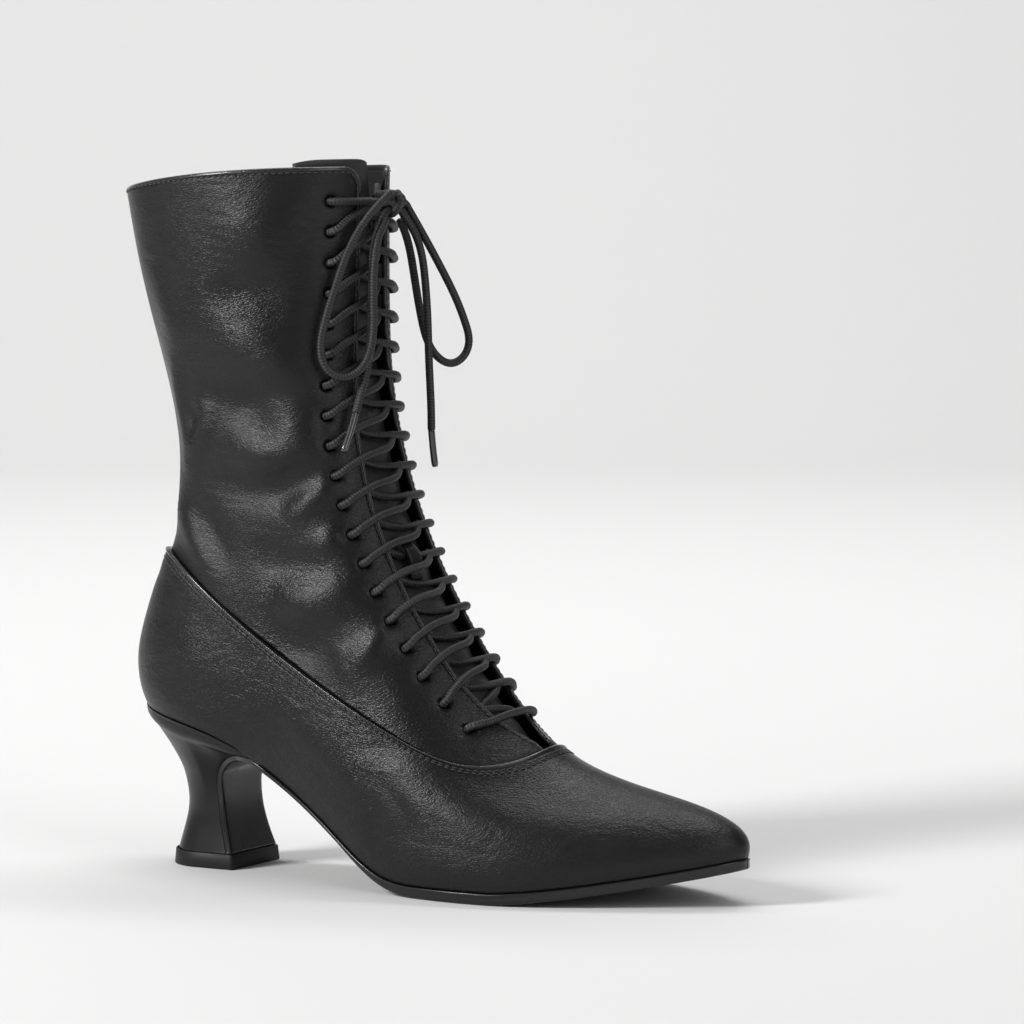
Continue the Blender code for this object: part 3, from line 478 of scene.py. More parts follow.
def tube_mesh(paths, radius, sides, flat=1.0):
    """Points, faces and (length, cosine, sine) marks of round bars along several paths of points,
    one after the other, each closed by a fan. flat squeezes the bar across its second axis."""
    all_points, all_faces, all_marks = [], [], []
    base = 0
    for path in paths:
        path = np.asarray(path, float)
        slope = unit(np.gradient(path, axis=0))
        first = carried_frame(slope)
        second = np.cross(slope, first)
        angle = np.arange(sides) * 2 * np.pi / sides
        wide = np.broadcast_to(np.asarray(radius, float), (len(path),))[:, None, None]
        ring = np.cos(angle)[:, None] * first[:, None] + np.sin(angle)[:, None] * second[:, None] * flat
        skin = (path[:, None] + ring * wide).reshape(-1, 3)
        length = walked(path)
        turned_by = [np.tile(np.cos(angle), len(path)), np.tile(np.sin(angle), len(path))]
        marks = np.stack([np.repeat(length, sides), *turned_by], axis=-1)
        caps = np.stack([path[0], path[-1]])
        cap_marks = np.array([[0.0, 1.0, 0.0], [length[-1], 1.0, 0.0]])
        count = len(skin)
        side_faces = grid_faces(len(path), sides, closed=True)
        all_faces.append((side_faces + base, end_fans(sides, count) + base))
        all_points.append(np.vstack([skin, caps]))
        all_marks.append(np.vstack([marks, cap_marks]))
        base += count + 2
    quads_made = np.vstack([pair[0] for pair in all_faces])
    fans = np.vstack([pair[1] for pair in all_faces])
    return np.vstack(all_points), [quads_made, fans], np.vstack(all_marks)


def carried_frame(slope):
    """Side vectors carried along a path without twist, starting square to an upright."""
    start = np.cross(slope[0], [0.3, 0.2, 1.0])
    frame = [start / np.linalg.norm(start)]
    for way in slope[1:]:
        side = frame[-1] - way * (frame[-1] @ way)
        frame.append(side / np.linalg.norm(side))
    return np.array(frame)


def walked(points):
    """How far along a row of points each one is."""
    return np.concatenate([[0], np.cumsum(np.linalg.norm(np.diff(points, axis=0), axis=1))])


def even_path(points, spacing):
    """Points this far apart along a spline through a route's own points."""
    points = np.asarray(points, float)
    walk = walked(points)
    fine = spline(walk, points, np.linspace(0, walk[-1], 40 * len(points)))
    length = walked(fine)
    even = np.linspace(0, length[-1], max(int(round(length[-1] / spacing)), 2) + 1)
    return np.stack([np.interp(even, length, fine[:, c]) for c in range(3)], axis=-1)


def path_length(path):
    """The length of a row of points."""
    return float(np.linalg.norm(np.diff(path, axis=0), axis=1).sum())


# Leather folds

# Each fold is a line of (share up the boot, turn) points with a half width and a height, both in
# millimetres. Minus heights are troughs.
FOLDS = [
    ([(0.781, -1.72), (0.762, -1.32), (0.738, -1.03), (0.704, -0.76)], 9, 2.0),
    ([(0.600, -1.82), (0.615, -1.43), (0.635, -1.04), (0.654, -0.73)], 7, 2.4),
    ([(0.531, -1.40), (0.558, -1.20), (0.588, -0.93), (0.612, -0.70)], 5, 1.5),
    ([(0.400, -1.72), (0.415, -1.51), (0.438, -1.27), (0.492, -0.88)], 8, 2.6),
    ([(0.488, -1.33), (0.523, -1.04), (0.542, -0.85)], 4.5, 1.4),
    ([(0.362, -1.22), (0.392, -1.06), (0.423, -0.87), (0.446, -0.75)], 5, 2.0),
    ([(0.385, -1.32), (0.365, -1.26), (0.331, -1.24)], 5, 1.0),
    ([(0.898, -1.51), (0.925, -1.13), (0.905, -0.80)], 14, 2.2),
    ([(0.827, -1.66), (0.842, -1.29), (0.835, -0.89)], 9, -1.4),
    ([(0.677, -2.03), (0.681, -1.68), (0.669, -1.41), (0.646, -1.16)], 8, -2.2),
    ([(0.527, -2.15), (0.546, -1.75), (0.569, -1.40), (0.600, -1.06), (0.627, -0.77)], 7, -2.2),
    ([(0.465, -1.81), (0.458, -1.62), (0.477, -1.35), (0.519, -0.97)], 8, -1.6),
    ([(0.308, -1.92), (0.319, -1.69), (0.358, -1.44), (0.423, -1.07)], 7, -1.6),
    ([(0.650, -1.74), (0.688, -1.42), (0.708, -1.06), (0.708, -0.76)], 5, -0.9),
    ([(0.662, -1.42), (0.665, -1.08), (0.677, -0.78)], 6, 1.0),
    ([(0.742, -2.21), (0.669, -2.29), (0.608, -2.30), (0.515, -2.50)], 5, 1.6),
    ([(0.496, -2.48), (0.573, -2.22), (0.631, -2.01), (0.677, -1.89)], 4.5, 1.8),
    ([(0.427, -2.75), (0.392, -2.43), (0.342, -2.23), (0.312, -2.02)], 6, 1.4),
    ([(0.473, -2.32), (0.435, -2.16), (0.408, -1.99)], 6, -1.4),
    ([(0.662, -2.25), (0.631, -2.17), (0.585, -2.24)], 4, -1.4),
    ([(0.877, -2.23), (0.804, -2.15), (0.742, -2.12)], 6, 0.8),
    ([(0.185, -1.52), (0.127, -1.51), (0.065, -1.55), (0.023, -1.62)], 4, -0.7),
    ([(0.185, -1.42), (0.119, -1.44), (0.062, -1.48), (0.027, -1.52)], 4, -0.7),
    ([(0.146, -1.40), (0.081, -1.41), (0.042, -1.41)], 4, -0.5),
    ([(0.158, -1.51), (0.096, -1.50), (0.050, -1.53)], 3, 0.5),
    ([(0.212, -1.52), (0.231, -1.34), (0.215, -1.25)], 5, -0.5),
    ([(0.142, -1.29), (0.085, -1.31), (0.046, -1.33)], 5, -0.4),
    ([(0.177, -2.43), (0.142, -2.28), (0.062, -2.27)], 12, 0.7),
    ([(0.790, 1.70), (0.760, 1.30), (0.740, 0.95)], 10, 1.6),
    ([(0.690, 1.95), (0.670, 1.50), (0.650, 1.10)], 8, -1.8),
    ([(0.600, 1.85), (0.620, 1.40), (0.650, 0.90)], 8, 2.2),
    ([(0.530, 2.20), (0.540, 1.70), (0.580, 1.10)], 7, -2.0),
    ([(0.470, 1.80), (0.460, 1.40), (0.500, 0.95)], 8, 2.2),
    ([(0.390, 1.85), (0.380, 1.50), (0.430, 1.05)], 7, -1.4),
    ([(0.345, 1.50), (0.370, 1.20), (0.400, 1.00)], 6, 1.2),
    ([(0.720, 2.30), (0.640, 2.35), (0.540, 2.50)], 5, 1.5),
    ([(0.500, 2.50), (0.580, 2.20), (0.640, 2.00)], 5, 1.6),
    ([(0.440, 2.70), (0.390, 2.40), (0.330, 2.10)], 6, 1.2),
    ([(0.910, 1.50), (0.925, 1.10), (0.905, 0.80)], 12, 1.0),
    ([(0.185, 1.45), (0.120, 1.45), (0.055, 1.50)], 4, -0.6),
    ([(0.170, 1.36), (0.105, 1.38), (0.050, 1.42)], 4, -0.5),
    ([(0.570, 3.00), (0.560, -2.95)], 6, -0.5),
]


FOLD_DEPTH = 1.2


def fold_relief(points):
    """The height of all the folds at points: each is a Gaussian across its line that fades to
    nothing towards the line's two ends."""
    height = np.zeros(len(points))
    for line, half_width, tall in FOLDS:
        line = np.array(line)
        knots = np.linspace(0, 1, len(line))
        at = np.linspace(0, 1, 8 * len(line))
        if len(line) > 2:
            smooth = spline(knots, line, at)
        else:
            smooth = line[0] + (line[1] - line[0]) * at[:, None]
        route = form(smooth[:, 0], smooth[:, 1])
        reach = path_length(route) / 2 + 4 * half_width
        near = np.linalg.norm(points - route[len(route) // 2], axis=1) < reach
        some = points[near]
        apart = np.linalg.norm(some[:, None] - route[None], axis=2)
        closest = apart.argmin(axis=1)
        share = at[closest]
        fade = np.sin(np.pi * np.clip(share, 0.02, 0.98)) ** 0.8
        height[near] += FOLD_DEPTH * tall * fade * np.exp(-((apart.min(axis=1) / half_width) ** 2))
    return height


# Upper

COLLAR_RADIUS = 8.0
EDGE_ROUND = 0.9
STITCH_INSET = 2.1
SEAM_BEAD = 0.8
SEAM_STITCHES = (3.0, 4.7)


def edge_profile(distance):
    """Height of a folded and stitched edge: a rounded rim, a soft bead and the stitch's groove."""
    inside = np.clip(EDGE_ROUND - distance, 0, EDGE_ROUND)
    rim = np.sqrt(EDGE_ROUND**2 - inside**2) - EDGE_ROUND
    return rim + 0.16 * bump(distance, 1.15, 0.45) - 0.22 * bump(distance, STITCH_INSET, 0.42)


def corner_distance(from_throat, from_collar):
    """Distance to the flap's edge: its front edge and the collar, joined by a round corner."""
    deep_x = COLLAR_RADIUS - from_throat
    deep_z = COLLAR_RADIUS - from_collar
    rounded = COLLAR_RADIUS - np.hypot(deep_x, deep_z)
    return np.where((deep_x > 0) & (deep_z > 0), rounded, np.minimum(from_throat, from_collar))


# How deep, and over what half width, the leather sinks round each hole: its rim and its hollow
EYELET_DIPS = ((0.38, 0.55), (0.25, 2.2))
EYELET_NEAR = 6.0
EYELET_LEVEL = 3.0
BACK_SEAM_DEPTH = 0.35
BACK_SEAM_TURN = 0.012
FOLD_FREE_EDGE = (0.5, 9.0)
# Distances from the throat's edge and the collar of the grid's first lines
EDGE_STEPS = np.array([0.0, 0.06, 0.18, 0.36, 0.6, 0.9, 1.25, 1.6, 1.9, 2.15, 2.45, 2.8, 3.3])


def shaft(leather, lining):
    """Quarters and shaft: one grid of both sides, from the throat's edges round the back, with
    its eyelets cut and its inner face."""
    dense = np.linspace(SEAM, 1, 600)
    edge = form(dense, throat_turn(dense))
    walk = walked(edge)
    from_top = np.concatenate([EDGE_STEPS, np.linspace(EDGE_STEPS[-1], walk[-1], 250)[1:]])
    ups = np.interp(walk[-1] - from_top[::-1], walk, dense)
    sunk = SEAM - np.array([0.010, 0.005])
    ups = np.concatenate([sunk, ups])
    from_collar = np.concatenate([[walk[-1]] * 2, from_top[::-1]])
    corner = COLLAR_RADIUS - np.sqrt(
        np.clip(COLLAR_RADIUS**2 - np.clip(COLLAR_RADIUS - from_collar, 0, None) ** 2, 0, None)
    )
    flap = np.concatenate([EDGE_STEPS, np.arange(4.1, 21.0, 0.8)])
    rest = 46
    turns_dense, walks = ring_walk(ups)
    starts = throat_turn(ups)
    begin = np.array([np.interp(s, turns_dense, w) for s, w in zip(starts, walks)])
    total = walks[:, -1] - begin
    fixed = corner[:, None] + flap
    share = np.linspace(0, 1, rest + 1)[1:]
    spread = fixed[:, -1:] + (total[:, None] - fixed[:, -1:]) * share
    distance = np.hstack([fixed, spread])
    side = np.array([np.interp(b + row, w, turns_dense) for b, row, w in zip(begin, distance, walks)])
    turns = np.hstack([-side, side[:, -2::-1]])
    from_throat = np.hstack([distance, distance[:, -2::-1]])
    rows, columns = turns.shape
    up = np.repeat(ups[:, None], columns, axis=1)
    base = form(up, turns).reshape(-1, 3)
    normal = outward(up, turns).reshape(-1, 3)
    to_edge = corner_distance(from_throat, from_collar[:, None]).ravel()
    sink = -0.9 * (1 - step_between(up.ravel(), SEAM - 0.004, SEAM + 0.004))
    height = edge_profile(to_edge) + sink
    from_back = np.abs(np.abs(turns.ravel()) - np.pi)
    folded = fold_relief(base) * step_between(to_edge, *FOLD_FREE_EDGE)
    height = height - BACK_SEAM_DEPTH * bump(from_back, 0, BACK_SEAM_TURN) + folded
    faces = grid_faces(rows, columns)
    points = base + normal * height[:, None]
    inner = base - normal * (WALL + edge_profile(to_edge) * 0.6 - 0.5 * sink)[:, None]
    inner += normal * folded[:, None]
    gone = np.zeros(len(faces), bool)
    middle_of = base[faces].mean(axis=1)
    # Near the cut edges the leather is glossier and its colour is painted lighter: a painted highlight
    # along the rim
    gloss_and_painted_highlight = bump(to_edge, 0.5, 0.9)
    for centre, out, along, beside in eyelet_frames():
        offset = base - centre
        u, v = offset @ along, offset @ beside
        radius = np.hypot(u, v)
        near = (radius < EYELET_NEAR) & (np.abs(offset @ out) < EYELET_LEVEL)
        of_face = middle_of - centre
        inside = np.hypot(of_face @ along, of_face @ beside) < EYELET_HOLE / 2
        inside &= np.abs(of_face @ out) < EYELET_LEVEL
        gone |= inside
        kept = np.unique(faces[~inside])
        rim = np.intersect1d(np.unique(faces[inside]), kept)
        wanted = (EYELET_HOLE / 2 / radius[rim] - 1)[:, None]
        move = wanted * (u[rim, None] * along + v[rim, None] * beside)
        points[rim] += move
        inner[rim] += move
        dip = sum(deep * bump(radius[near], EYELET_HOLE / 2, wide) for deep, wide in EYELET_DIPS)
        points[near] -= normal[near] * dip[:, None]
    return shell("shaft", points, inner, faces[~gone], [leather, lining], gloss_and_painted_highlight)


def eyelet_ups():
    """The shares up the boot of the eyelets, top first, an equal walk apart along the edge."""
    ups = np.linspace(EYELET_TOP, EYELET_FOOT, 80)
    edge = form(ups, throat_turn(ups))
    walk = walked(edge)
    return np.interp(np.linspace(0, walk[-1], EYELETS), walk, ups)


def eyelet_frames():
    """Each eyelet's centre, outward normal, and two directions in the surface."""
    ups = np.tile(eyelet_ups(), 2)
    turns = turns_beside_throat(ups[:EYELETS], np.array([EYELET_INSET]))[:, 0]
    turns = np.concatenate([-turns, turns])
    centre = form(ups, turns)
    out = outward(ups, turns)
    along = unit(np.cross(out, [0.0, 1.0, 0.0]))
    beside = np.cross(out, along)
    return list(zip(centre, out, along, beside))


FOXING_COLUMNS = 330


# The foxing's edge: its rolled bead, the groove under the bead, the grooves of the stitch rows and
# the ridge between them, in millimetres high or deep
BEAD_HEIGHT = 0.62
BEAD_GROOVE = 0.30
STITCH_GROOVE = 0.20
STITCH_RIDGE = 0.12
# The foxing thins by this share of its step, this far down, and stands out more at the back
THIN_SHARE = 0.25
THIN_SPAN = 12.0
BACK_PROUD = 1.1


def foxing(leather, lining):
    """Vamp and counter in one band, with its rolled seam edge over the quarters."""
    dense = np.linspace(0, SEAM, 400)
    side_walk = np.linalg.norm(np.diff(form(dense, 0.8), axis=0), axis=1)
    walk = np.concatenate([[0], np.cumsum(side_walk)])
    from_seam = np.concatenate([np.arange(0, 7.0, 0.26), np.linspace(7.0, walk[-1], 62)])
    ups = np.interp(walk[-1] - from_seam[::-1], walk, dense)
    turns = np.linspace(-np.pi, np.pi, FOXING_COLUMNS, endpoint=False)
    rows, columns = len(ups), len(turns)
    grid = form(ups[:, None], turns)
    normal = outward(ups[:, None] * np.ones(columns), turns)
    steps = np.linalg.norm(np.diff(grid, axis=0), axis=-1)
    down = np.vstack([np.cumsum(steps[::-1], axis=0)[::-1], np.zeros((1, columns))])
    bead_in = np.clip(np.abs(down - SEAM_BEAD) / SEAM_BEAD, 0, 1)
    bead = BEAD_HEIGHT * (np.sqrt(1 - bead_in**2) - 0.15) * (down < 2 * SEAM_BEAD)
    grooves = -BEAD_GROOVE * bump(down, 2 * SEAM_BEAD + 0.25, 0.35)
    for row in SEAM_STITCHES:
        grooves = grooves - STITCH_GROOVE * bump(down, row, 0.40)
    ridge = STITCH_RIDGE * bump(down, (SEAM_STITCHES[0] + SEAM_STITCHES[1]) / 2, 0.5)
    thinned = FOXING_STEP * (1 - THIN_SHARE * step_between(down, 0.0, THIN_SPAN))
    proud = thinned + bead + grooves + ridge
    flat = grid.reshape(-1, 3)
    height = proud.ravel() + fold_relief(flat) * step_between(down.ravel(), 1.0, 8.0)
    at_back = bump(np.abs(np.broadcast_to(turns, proud.shape)) - np.pi, 0, 0.5).ravel()
    height = height + BACK_PROUD * at_back * (1 - step_between(down.ravel(), 2.0, THIN_SPAN))
    outer = flat + normal.reshape(-1, 3) * height[:, None]
    under = normal.copy()
    under[0, :, 2] = np.minimum(under[0, :, 2], 0)
    inner = flat - under.reshape(-1, 3) * (WALL - 0.15)
    # On the rolled bead the leather is glossier and its colour is painted lighter: a painted highlight
    # along the bead
    gloss_and_painted_highlight = (bump(down, SEAM_BEAD, 0.7)).ravel()
    return shell("foxing", outer, inner, grid_faces(rows, columns, closed=True), [leather, lining], gloss_and_painted_highlight)


# Sole and heel


def level_edge(turns, proud):
    """A point of the feather line moved out level by proud, and its level normal."""
    normal = unit(outward(np.zeros_like(turns), turns) * [1.0, 1.0, 0.0])
    return form(0.0, turns) + normal * np.asarray(proud)[..., None], normal


def sole_bottom(x):
    """The underside of the forepart and shank, level with the floor over the ball."""
    along = np.clip((BALL_BACK - x) / (BALL_BACK - BREAST_X - BREAST_REACH), 0, 1)
    thick = SOLE_BALL + (SOLE_SHANK - SOLE_BALL) * np.clip(along * 2.2, 0, 1)
    bottom = sole_top(x) - thick
    return np.where((x > BALL_BACK - 1e-6) & (x < BALL_FRONT + 1e-6), 0.0, np.maximum(bottom, 0.0))


def breast_stations(count):
    """Stations of the outsole from the shank's end down the breast, splined: underside points,
    normals towards the heel, and half widths."""
    x = BREAST_X + BREAST_LINE[:, 0] * BREAST_REACH
    z = BREAST_LINE[:, 1] * SEAT_HEIGHT
    z[-1] = TOP_PIECE + GAP
    rows = np.column_stack([x, z, BREAST_LINE[:, 2] * SEAT_WIDTH / 2])
    knots = np.arange(len(rows), dtype=float)
    fine = spline(knots, rows, np.linspace(0, len(rows) - 1, count))
    slope = unit(np.gradient(fine[:, :2], axis=0))
    inward = np.stack([slope[:, 1], -slope[:, 0]], axis=-1)
    inward[-1] = -1.0, 0.0
    return fine[:, :2], inward, fine[:, 2]


# The outsole's edge in section, its top inwards first: how far out and how far up each point is
# from the rim, and its share of the way down the sole's thickness
SOLE_EDGE = (
    (-3.5, 0.0, 0), (-1.3, 0.0, 0), (-0.8, 0.25, 0), (-0.35, 0.34, 0), (-0.02, 0.12, 0),
    (0.06, -0.25, 0), (-0.16, -0.55, 0), (-0.12, 0.0, 0.5), (-0.12, 0.65, 1), (-0.35, 0.28, 1),
    (-0.75, 0.08, 1), (-1.5, 0.0, 1),
)


# The turns that the sole's edge runs through, in shares of half a turn, and its stations
SOLE_TURNS = (0.004, 0.86)
SOLE_STATIONS = 190
FLAP_STATIONS = 70


def outsole(sole_material):
    """One plate from the toe to the foot of the breast, its cross section a loop: the rim's top,
    the rounded edge, the underside and the other edge."""
    turns = np.pi * np.linspace(*SOLE_TURNS, SOLE_STATIONS)
    edge = level_edge(turns, FOXING_STEP + SOLE_RIM)[0]
    keep = edge[:, 0] > BREAST_X + BREAST_REACH * 1.3
    turns = turns[keep]
    flap, inward, half = breast_stations(FLAP_STATIONS)
    heel_thick = np.linspace(SOLE_SHANK - GAP, SOLE_FLAP, len(flap))
    sides = []
    for sign in (-1, 1):
        edge, normal = level_edge(sign * turns, FOXING_STEP + SOLE_RIM)
        edge[:, 2] -= GAP
        thick = edge[:, 2] - sole_bottom(edge[:, 0])
        on_heel = flap + inward * heel_thick[:, None]
        top = np.column_stack([on_heel[:, 0], sign * half, on_heel[:, 1]])
        flat = np.zeros((len(flap), 1))
        flap_normal = np.hstack([flat, flat + sign, flat])
        up = np.column_stack([inward[:, 0], np.zeros(len(flap)), inward[:, 1]])
        level_up = np.tile([0.0, 0.0, 1.0], (len(turns), 1))
        sides.append((
            np.vstack([edge, top]), np.vstack([normal, flap_normal]), np.vstack([level_up, up]),
            np.concatenate([thick, heel_thick]),
        ))
    rings = []
    for edge, normal, up, thick in sides:
        rows = []
        for out, drop, share in SOLE_EDGE:
            rows.append(edge + normal * out + up * (drop - share * thick[:, None]))
        rings.append(np.array(rows))
    left, right = rings
    across = np.linspace(0, 1, 14)[1:-1]
    bottom = [left[-1] + (right[-1] - left[-1]) * s for s in across]
    top = [right[0] + (left[0] - right[0]) * s for s in across]
    loop = np.concatenate([left, bottom, right[::-1], top])
    loop = np.moveaxis(loop, 0, 1)
    stations, around = loop.shape[:2]
    points = loop.reshape(-1, 3)
    faces = grid_faces(stations, around, closed=True)
    ends = np.stack([points[:around].mean(axis=0), points[-around:].mean(axis=0)])
    fans = end_fans(around, len(points))
    points = np.vstack([points, ends])
    return mesh_object("sole", points, [faces, fans], [sole_material], [("gloss_and_painted_highlight", np.zeros(len(points)))])


CORNER_CUT = 0.12
CORNER_ROUND = 0.55


def d_outline(front, back, half_front, half_back, count=34):
    """x and half width from the flat front round to the back: a side that leans into a quarter
    of an ellipse, with a small round at the front corner."""
    radius = min(half_back, (front - back) * 0.96)
    side = np.linspace(0, 1, count // 3, endpoint=False)
    x = front + (back + radius - front) * side
    y = half_front + (half_back - half_front) * side
    angle = np.linspace(0, np.pi / 2, count - len(side))
    corner_x = [front, front, front - CORNER_CUT]
    corner_y = [0.0, half_front - CORNER_ROUND, half_front - CORNER_CUT]
    x = np.concatenate([corner_x, x[1:], back + radius * (1 - np.sin(angle))])
    y = np.concatenate([corner_y, y[1:], half_back * np.cos(angle)])
    return x, y


def ring_stack(name, rings, used):
    """A closed solid from rings of points, top first, its two ends closed by fans."""
    rings = np.asarray(rings)
    count = rings.shape[1]
    points = rings.reshape(-1, 3)
    faces = grid_faces(len(rings), count, closed=True)
    fans = end_fans(count, len(points))
    fans[count:] = fans[count:, [1, 0, 2]]
    points = np.vstack([points, rings[0].mean(axis=0), rings[-1].mean(axis=0)])
    return mesh_object(name, points, [faces[:, ::-1], fans], [used], [("gloss_and_painted_highlight", np.zeros(len(points)))])


def mirrored_ring(x, y, z):
    """A level ring of both sides from one side's points."""
    one = np.stack([x, -y, z], axis=-1)
    other = np.stack([x[-2:0:-1], y[-2:0:-1], z[-2:0:-1]], axis=-1)
    return np.vstack([one, other])


# The heel's first rings take their outline from the upper's hem, less with each ring, and follow
# the seat this far apart. Its last rings level out onto the top piece.
HEEL_RINGS = 64
SEAT_RINGS = 13
SEAT_STEP = 0.62
SEAT_GAP = 0.1
FOOT_RINGS = 6
FOOT_STEP = 0.9
TOUCH = 0.05


def heel(heel_material):
    """The heel's block from splined sections: its top meets the upper's seat."""
    count = HEEL_RINGS
    path, inward, half = breast_stations(count)
    thickness = np.linspace(SOLE_SHANK - GAP, SOLE_FLAP, count)
    fronts = np.column_stack([path + inward * (thickness + TOUCH)[:, None], half])
    knots = np.arange(len(HEEL_BACKS), dtype=float)
    backs = spline(knots, HEEL_BACKS, np.linspace(0, len(HEEL_BACKS) - 1, count))
    turns = np.linspace(0.0, np.pi, 500)
    hem = level_edge(turns, FOXING_STEP + SEAT_GAP)[0]
    hem = hem[hem[:, 0] < fronts[0, 0] + 4]
    hem_walk = np.concatenate([[0], np.cumsum(np.hypot(*np.diff(hem[:, :2], axis=0).T))])
    rings = []
    for k in range(count):
        front_x, front_z, front_half = fronts[k]
        back_x, back_z, wide = backs[k]
        seat = 1 - step_between(k, -4, SEAT_RINGS)
        back = BREAST_X * back_x
        x, y = d_outline(front_x, back, front_half, wide * SEAT_WIDTH / 2)
        walk = np.concatenate([[0], np.cumsum(np.hypot(np.diff(x), np.diff(y)))])
        hem_front = np.interp(-front_x, -hem[:, 0], hem_walk)
        side_share = np.clip((walk - walk[2]) / (walk[-1] - walk[2]), 0, 1)
        at = hem_front + (hem_walk[-1] - hem_front) * side_share
        blend = (1 - step_between(k, 0, SEAT_RINGS)) * step_between(side_share, 0.0, 0.06)
        x = x + (np.interp(at, hem_walk, hem[:, 0]) - x) * blend
        y = y + (np.interp(at, hem_walk, np.abs(hem[:, 1])) - y) * blend
        share = np.clip((front_x - x) / (front_x - back), 0, 1)
        from_foot = count - 1 - k
        foot = step_between(k, count - 1 - FOOT_RINGS, count - 1)
        front_here = front_z if from_foot else TOP_PIECE + TOUCH
        level = TOP_PIECE + TOUCH + from_foot * FOOT_STEP
        back_here = back_z * SEAT_HEIGHT * (1 - foot) + level * foot
        z = front_here + (back_here - front_here) * share
        under_seat = sole_top(x) - SEAT_GAP - SEAT_STEP * k
        z = z + (under_seat - z) * (seat if k else 1)
        rings.append(mirrored_ring(x, y, z))
    return ring_stack("heel_block", rings, heel_material)


# The top piece's edge in section: height, and how far out from its own outline
TOP_PIECE_EDGE = (
    (TOP_PIECE, -1.0), (TOP_PIECE, -0.62), (TOP_PIECE - 0.15, -0.5), (TOP_PIECE / 2, -0.25),
    (0.5, -0.02), (0.15, -0.1), (0.0, -0.5),
)


def top_piece(rubber):
    """The rubber piece under the heel."""
    rings = []
    for z, grow in TOP_PIECE_EDGE:
        half = TOP_PIECE_WIDTH / 2 + grow
        x, y = d_outline(TOP_PIECE_FRONT + grow, TOP_PIECE_BACK - grow, half, half)
        rings.append(mirrored_ring(x, y, np.full_like(x, z)))
    return ring_stack("heel_top_piece", rings, rubber)


def plate(name, top, under, used):
    """A closed plate from two grids of the same shape."""
    rows, columns = top.shape[:2]
    faces = grid_faces(rows, columns)
    count = rows * columns
    side = walls(faces, count)
    points = np.vstack([top.reshape(-1, 3), under.reshape(-1, 3)])
    all_faces = np.vstack([faces, faces[:, ::-1] + count, side])
    return mesh_object(name, points, all_faces, [used], [("gloss_and_painted_highlight", np.zeros(len(points)))])


def insole(sock):
    """The sock over the insole, a little hollow towards its rim."""
    turns = np.linspace(0.02, np.pi - 0.03, 150)
    left, _ = level_edge(-turns, -(WALL + 2 * GAP) * np.ones_like(turns))
    right, _ = level_edge(turns, -(WALL + 2 * GAP) * np.ones_like(turns))
    across = np.linspace(0, 1, 30)[None, :, None]
    top = left[:, None] * (1 - across) + right[:, None] * across
    lift = GAP + INSOLE_THICKNESS
    rim = np.minimum(across, 1 - across)[..., 0] * 2
    top[..., 2] += lift - 0.9 * step_between(rim, 0, 0.5) * step_between(turns, 0.0, 0.6)[:, None]
    top[:, (0, -1), 2] -= 0.5
    under = top.copy()
    under[..., 2] -= INSOLE_THICKNESS * 0.7
    return plate("sock", top, under, sock)


# The tongue's inner edge reaches this much further under the flap than its solid
TONGUE_TUCK = 3.5


def tongue_grid(rows, columns):
    """Shares up the boot and turns of a grid over the tongue, its top moved to the outer side."""
    ups = np.linspace(TONGUE_FOOT, 1.0, rows)
    half = np.interp(ups, TONGUE_SIDES[:, 0], TONGUE_SIDES[:, 1]) * TONGUE_WIDTH
    shift = -TONGUE_SHIFT * np.clip((ups - 0.72) / 0.28, 0, 1)
    line = np.linspace(-1, 1, columns)
    tuck = TONGUE_TUCK * np.clip(line, 0, 1) * (1 - step_between(ups, 0.75, 0.95))[:, None]
    across = half[:, None] * line + shift[:, None] + tuck
    turns = np.array([turn_at(np.full(columns, u), row) for u, row in zip(ups, across)])
    return ups, turns


# The soft tongue swells up against the lace from where its solid lies
TONGUE_LIFT = 0.8
TONGUE_SWELL = 0.7
TONGUE_PUFF = 0.2


def tongue(leather):
    """The padded tongue, swelling between the lace's rows."""
    rows, columns = 150, 41
    ups, turns = tongue_grid(rows, columns)
    line = np.linspace(-1, 1, columns)
    wave = np.sin(np.arange(rows)[:, None] / rows * np.pi * 2 * EYELETS * 0.9)
    swell = TONGUE_SWELL * wave * (1 - line**2) + TONGUE_PUFF
    swell = swell * step_between(ups, 0.30, 0.36)[:, None] * (1 - step_between(ups, 0.62, 0.80))[:, None]
    top = lifted(ups[:, None], turns, swell + TONGUE_LIFT - TONGUE_DEPTH)
    under = lifted(ups[:, None], turns, swell + TONGUE_LIFT - TONGUE_DEPTH - TONGUE_THICKNESS)
    rise = TONGUE_RISE * (1 - 0.55 * np.abs(line) ** 5)
    for grid in (top, under):
        last = step_between(ups, 0.93, 1.0)[:, None]
        grid[..., 2] += last * rise
    return plate("tongue_leather", top, under, leather)


# The strap is drawn lower and nearer the outer side than its solid, and arched off the tongue
KEEPER_DROP = 0.046
KEEPER_ASIDE = 2.5
KEEPER_ARCH = 5.0


def keeper(leather):
    """The strap across the tongue that holds the lace."""
    rows, columns = 18, 9
    ups = np.linspace(*KEEPER_ENDS, rows) - KEEPER_DROP
    across = KEEPER_MIDDLE - KEEPER_ASIDE + np.linspace(-1, 1, columns) * KEEPER_WIDTH / 2
    turns = np.array([turn_at(np.full(columns, u), across) for u in ups])
    arch = np.sin(np.linspace(0, np.pi, rows))[:, None] ** 0.7
    hump = KEEPER_ARCH * arch - TONGUE_DEPTH + TONGUE_LIFT
    rim = 1 - np.abs(np.linspace(-1, 1, columns)) ** 6
    top = lifted(ups[:, None], turns, hump + KEEPER_THICKNESS * (0.6 + 0.4 * rim))
    under = lifted(ups[:, None], turns, hump)
    return plate("keeper_strap", top, under, leather)


# Lace

LACE_SIDES = 12
